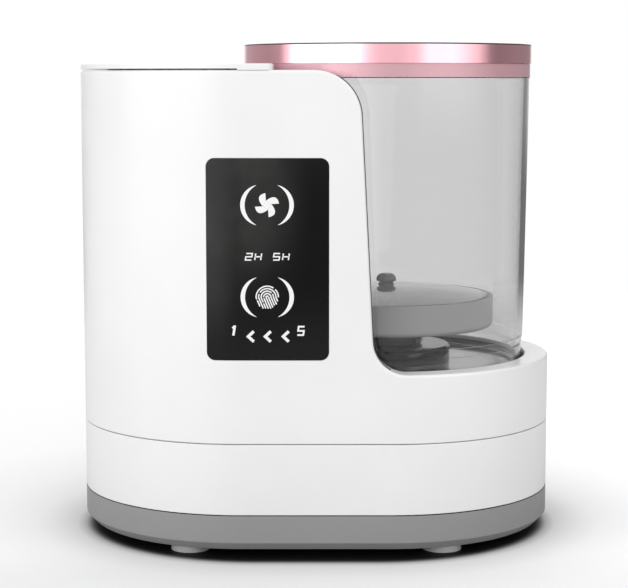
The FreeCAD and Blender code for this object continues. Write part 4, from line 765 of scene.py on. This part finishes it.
def room_level(tree, direction):
    """The room's brightness as glossy surfaces see it."""
    behind = maths(tree, "MULTIPLY", direction["Y"], -1.0)
    azimuth = maths(tree, "ARCTAN2", direction["X"], behind)
    azimuth = maths(tree, "ADD", maths(tree, "DIVIDE", azimuth, math.tau), 0.5)
    above = ranged(tree, direction["Z"], *ROOM_SPLIT)
    low = maths(tree, "MULTIPLY", azimuth_ramp(tree, azimuth, ROOM_LOW), maths(tree, "SUBTRACT", 1.0, above))
    high = maths(tree, "MULTIPLY", azimuth_ramp(tree, azimuth, ROOM_HIGH), above)
    level = maths(tree, "MULTIPLY", maths(tree, "ADD", low, high), ROOM_PEAK)
    return maths(tree, "MULTIPLY", level, ranged(tree, direction["Z"], *CEILING_EDGE, 1.0, CEILING))


def dome_level(tree, direction):
    """The soft light that falls on everything, brighter overhead and to one side."""
    rise = maths(tree, "MAXIMUM", direction["Z"], 0.0)
    level = maths(tree, "ADD", maths(tree, "MULTIPLY", rise, DOME_HIGH - DOME_LOW), DOME_LOW)
    lean = maths(tree, "ADD", maths(tree, "MULTIPLY", direction["X"], DOME_SIDE.x * DOME_LEAN),
                 maths(tree, "MULTIPLY", direction["Y"], DOME_SIDE.y * DOME_LEAN))
    return maths(tree, "MULTIPLY", level, maths(tree, "ADD", lean, 1.0))


def studio_world():
    """White for the camera and straight through clear parts, a soft studio for everything else."""
    world = bpy.data.worlds.new("studio")
    world.use_nodes = True
    bpy.context.scene.world = world
    tree = world.node_tree
    tree.nodes.clear()
    coords = tree.nodes.new("ShaderNodeTexCoord")
    direction = tree.nodes.new("ShaderNodeSeparateXYZ")
    tree.links.new(coords.outputs["Generated"], direction.inputs[0])
    path = tree.nodes.new("ShaderNodeLightPath")
    glossy = maths(tree, "MAXIMUM", path.outputs["Is Glossy Ray"], path.outputs["Is Transmission Ray"])
    dull = maths(tree, "SUBTRACT", 1.0, glossy)
    room = maths(tree, "MULTIPLY", room_level(tree, direction.outputs), glossy)
    dome = maths(tree, "MULTIPLY", dome_level(tree, direction.outputs), dull)
    lit = add(tree, "ShaderNodeBackground", Color=(1, 1, 1, 1))
    tree.links.new(maths(tree, "ADD", room, dome), lit.inputs["Strength"])
    seen = add(tree, "ShaderNodeBackground", Color=(1, 1, 1, 1), Strength=1.0)
    through_jar = maths(tree, "GREATER_THAN", path.outputs["Transmission Depth"], FACES_OF_JAR)
    direct = maths(tree, "MAXIMUM", path.outputs["Is Camera Ray"], through_jar)
    mix = tree.nodes.new("ShaderNodeMixShader")
    output = tree.nodes.new("ShaderNodeOutputWorld")
    tree.links.new(direct, mix.inputs[0])
    tree.links.new(lit.outputs[0], mix.inputs[1])
    tree.links.new(seen.outputs[0], mix.inputs[2])
    tree.links.new(mix.outputs[0], output.inputs["Surface"])


FLOOR_RADIUS, FLOOR_FADE = 1.1, 0.55
# How much light the floor throws back on the object near it and far from it, and where far begins, as a
# fraction of the last contact step.
BOUNCE_NEAR, BOUNCE_FAR, BOUNCE_REACH = 0.4, 0.68, 0.8
# The painted contact shadow: how bright the floor's painted colour is at distances, in mm, from the housing's
# outline, dark where the base meets it. The outline is moved forward and made shorter, in mm, to follow where
# the base hides the floor.
CONTACT_SHADOW = ((0, 0.0), (2, 0.01), (4, 0.1), (7, 0.5), (11, 0.7), (30, 0.82), (60, 0.89), (120, 0.96))
CONTACT_FORWARD, CONTACT_SHORTER = 2.0, 7.0
# The painted light and shade that evens out the floor: two places in metres along X and along Y, and the
# levels there.
BALANCE_X = (-0.13, 0.16, 0.99, 1.17)
BALANCE_Y = (-0.12, -0.05, 0.92, 1.04)


def housing_distance(tree):
    """How far the floor's point is outside the housing's outline, as a fraction of the last contact step."""
    place = own_place(tree)
    across = maths(tree, "ABSOLUTE", place["X"])
    across = maths(tree, "MAXIMUM", maths(tree, "SUBTRACT", across, HALF_FLAT - CONTACT_SHORTER * MM), 0.0)
    along = maths(tree, "ADD", place["Y"], CONTACT_FORWARD * MM)
    squares = [maths(tree, "MULTIPLY", side, side) for side in (across, along)]
    distance = maths(tree, "SUBTRACT", maths(tree, "SQRT", maths(tree, "ADD", *squares)), END_RADIUS)
    return maths(tree, "DIVIDE", distance, CONTACT_SHADOW[-1][0] * MM)


def side_balance(tree):
    """Paints light and shade into the floor's colour to even it out, since the leaning light leaves one side
    brighter.
    """
    place = own_place(tree)
    return maths(tree, "MULTIPLY", ranged(tree, place["X"], *BALANCE_X), ranged(tree, place["Y"], *BALANCE_Y))


def studio_floor():
    """A white floor that fades into the white room far from the object; the camera sees a painted contact
    shadow and painted evening-out in its colour.
    """
    bm = bmesh.new()
    bmesh.ops.create_circle(bm, cap_ends=True, segments=96, radius=FLOOR_RADIUS)
    mesh = bpy.data.meshes.new("floor")
    bm.to_mesh(mesh)
    bm.free()
    floor = bpy.data.objects.new("floor", mesh)
    bpy.context.scene.collection.objects.link(floor)
    mat = principled("floor_white", (0.92, 0.92, 0.92), 0.6, Specular_IOR_Level=0.2)
    tree = mat.node_tree
    shader = tree.nodes["Principled BSDF"]
    steps = [(distance / CONTACT_SHADOW[-1][0], level) for distance, level in CONTACT_SHADOW]
    # What the camera sees: the painted contact shadow, times the painted evening-out.
    seen = maths(tree, "MULTIPLY", grey_ramp(tree, housing_distance(tree), steps), side_balance(tree))
    shade = tree.nodes.new("ShaderNodeMix")
    path = tree.nodes.new("ShaderNodeLightPath")
    tree.links.new(path.outputs["Is Camera Ray"], shade.inputs["Factor"])
    bounce = ranged(tree, housing_distance(tree), 0.0, BOUNCE_REACH, BOUNCE_NEAR, BOUNCE_FAR)
    tree.links.new(bounce, shade.inputs["A"])
    tree.links.new(seen, shade.inputs["B"])
    tree.links.new(shade.outputs["Result"], shader.inputs["Base Color"])
    length = tree.nodes.new("ShaderNodeVectorMath")
    length.operation = "LENGTH"
    tree.links.new(own_coords(tree), length.inputs[0])
    fade = ranged(tree, length.outputs["Value"], FLOOR_FADE, FLOOR_RADIUS)
    clear = tree.nodes.new("ShaderNodeBsdfTransparent")
    mix = tree.nodes.new("ShaderNodeMixShader")
    tree.links.new(fade, mix.inputs[0])
    tree.links.new(shader.outputs[0], mix.inputs[1])
    tree.links.new(clear.outputs[0], mix.inputs[2])
    tree.links.new(mix.outputs[0], tree.nodes["Material Output"].inputs["Surface"])
    mesh.materials.append(mat)


CAMERA_PLACE = (-0.00098, -0.82597, 0.2042)
CAMERA_TILT = math.radians(83.17)
CAMERA_SENSOR, CAMERA_LENS = 36, 102.86


def front_camera():
    """The camera: square on to the front, looking slightly down."""
    data = bpy.data.cameras.new("camera")
    data.sensor_width = CAMERA_SENSOR
    data.lens = CAMERA_LENS
    camera = bpy.data.objects.new("camera", data)
    bpy.context.scene.collection.objects.link(camera)
    camera.location = CAMERA_PLACE
    camera.rotation_euler = (CAMERA_TILT, 0, 0)
    bpy.context.scene.camera = camera


studio_world()
studio_floor()
front_camera()
bpy.context.scene.view_settings.view_transform = "Standard"
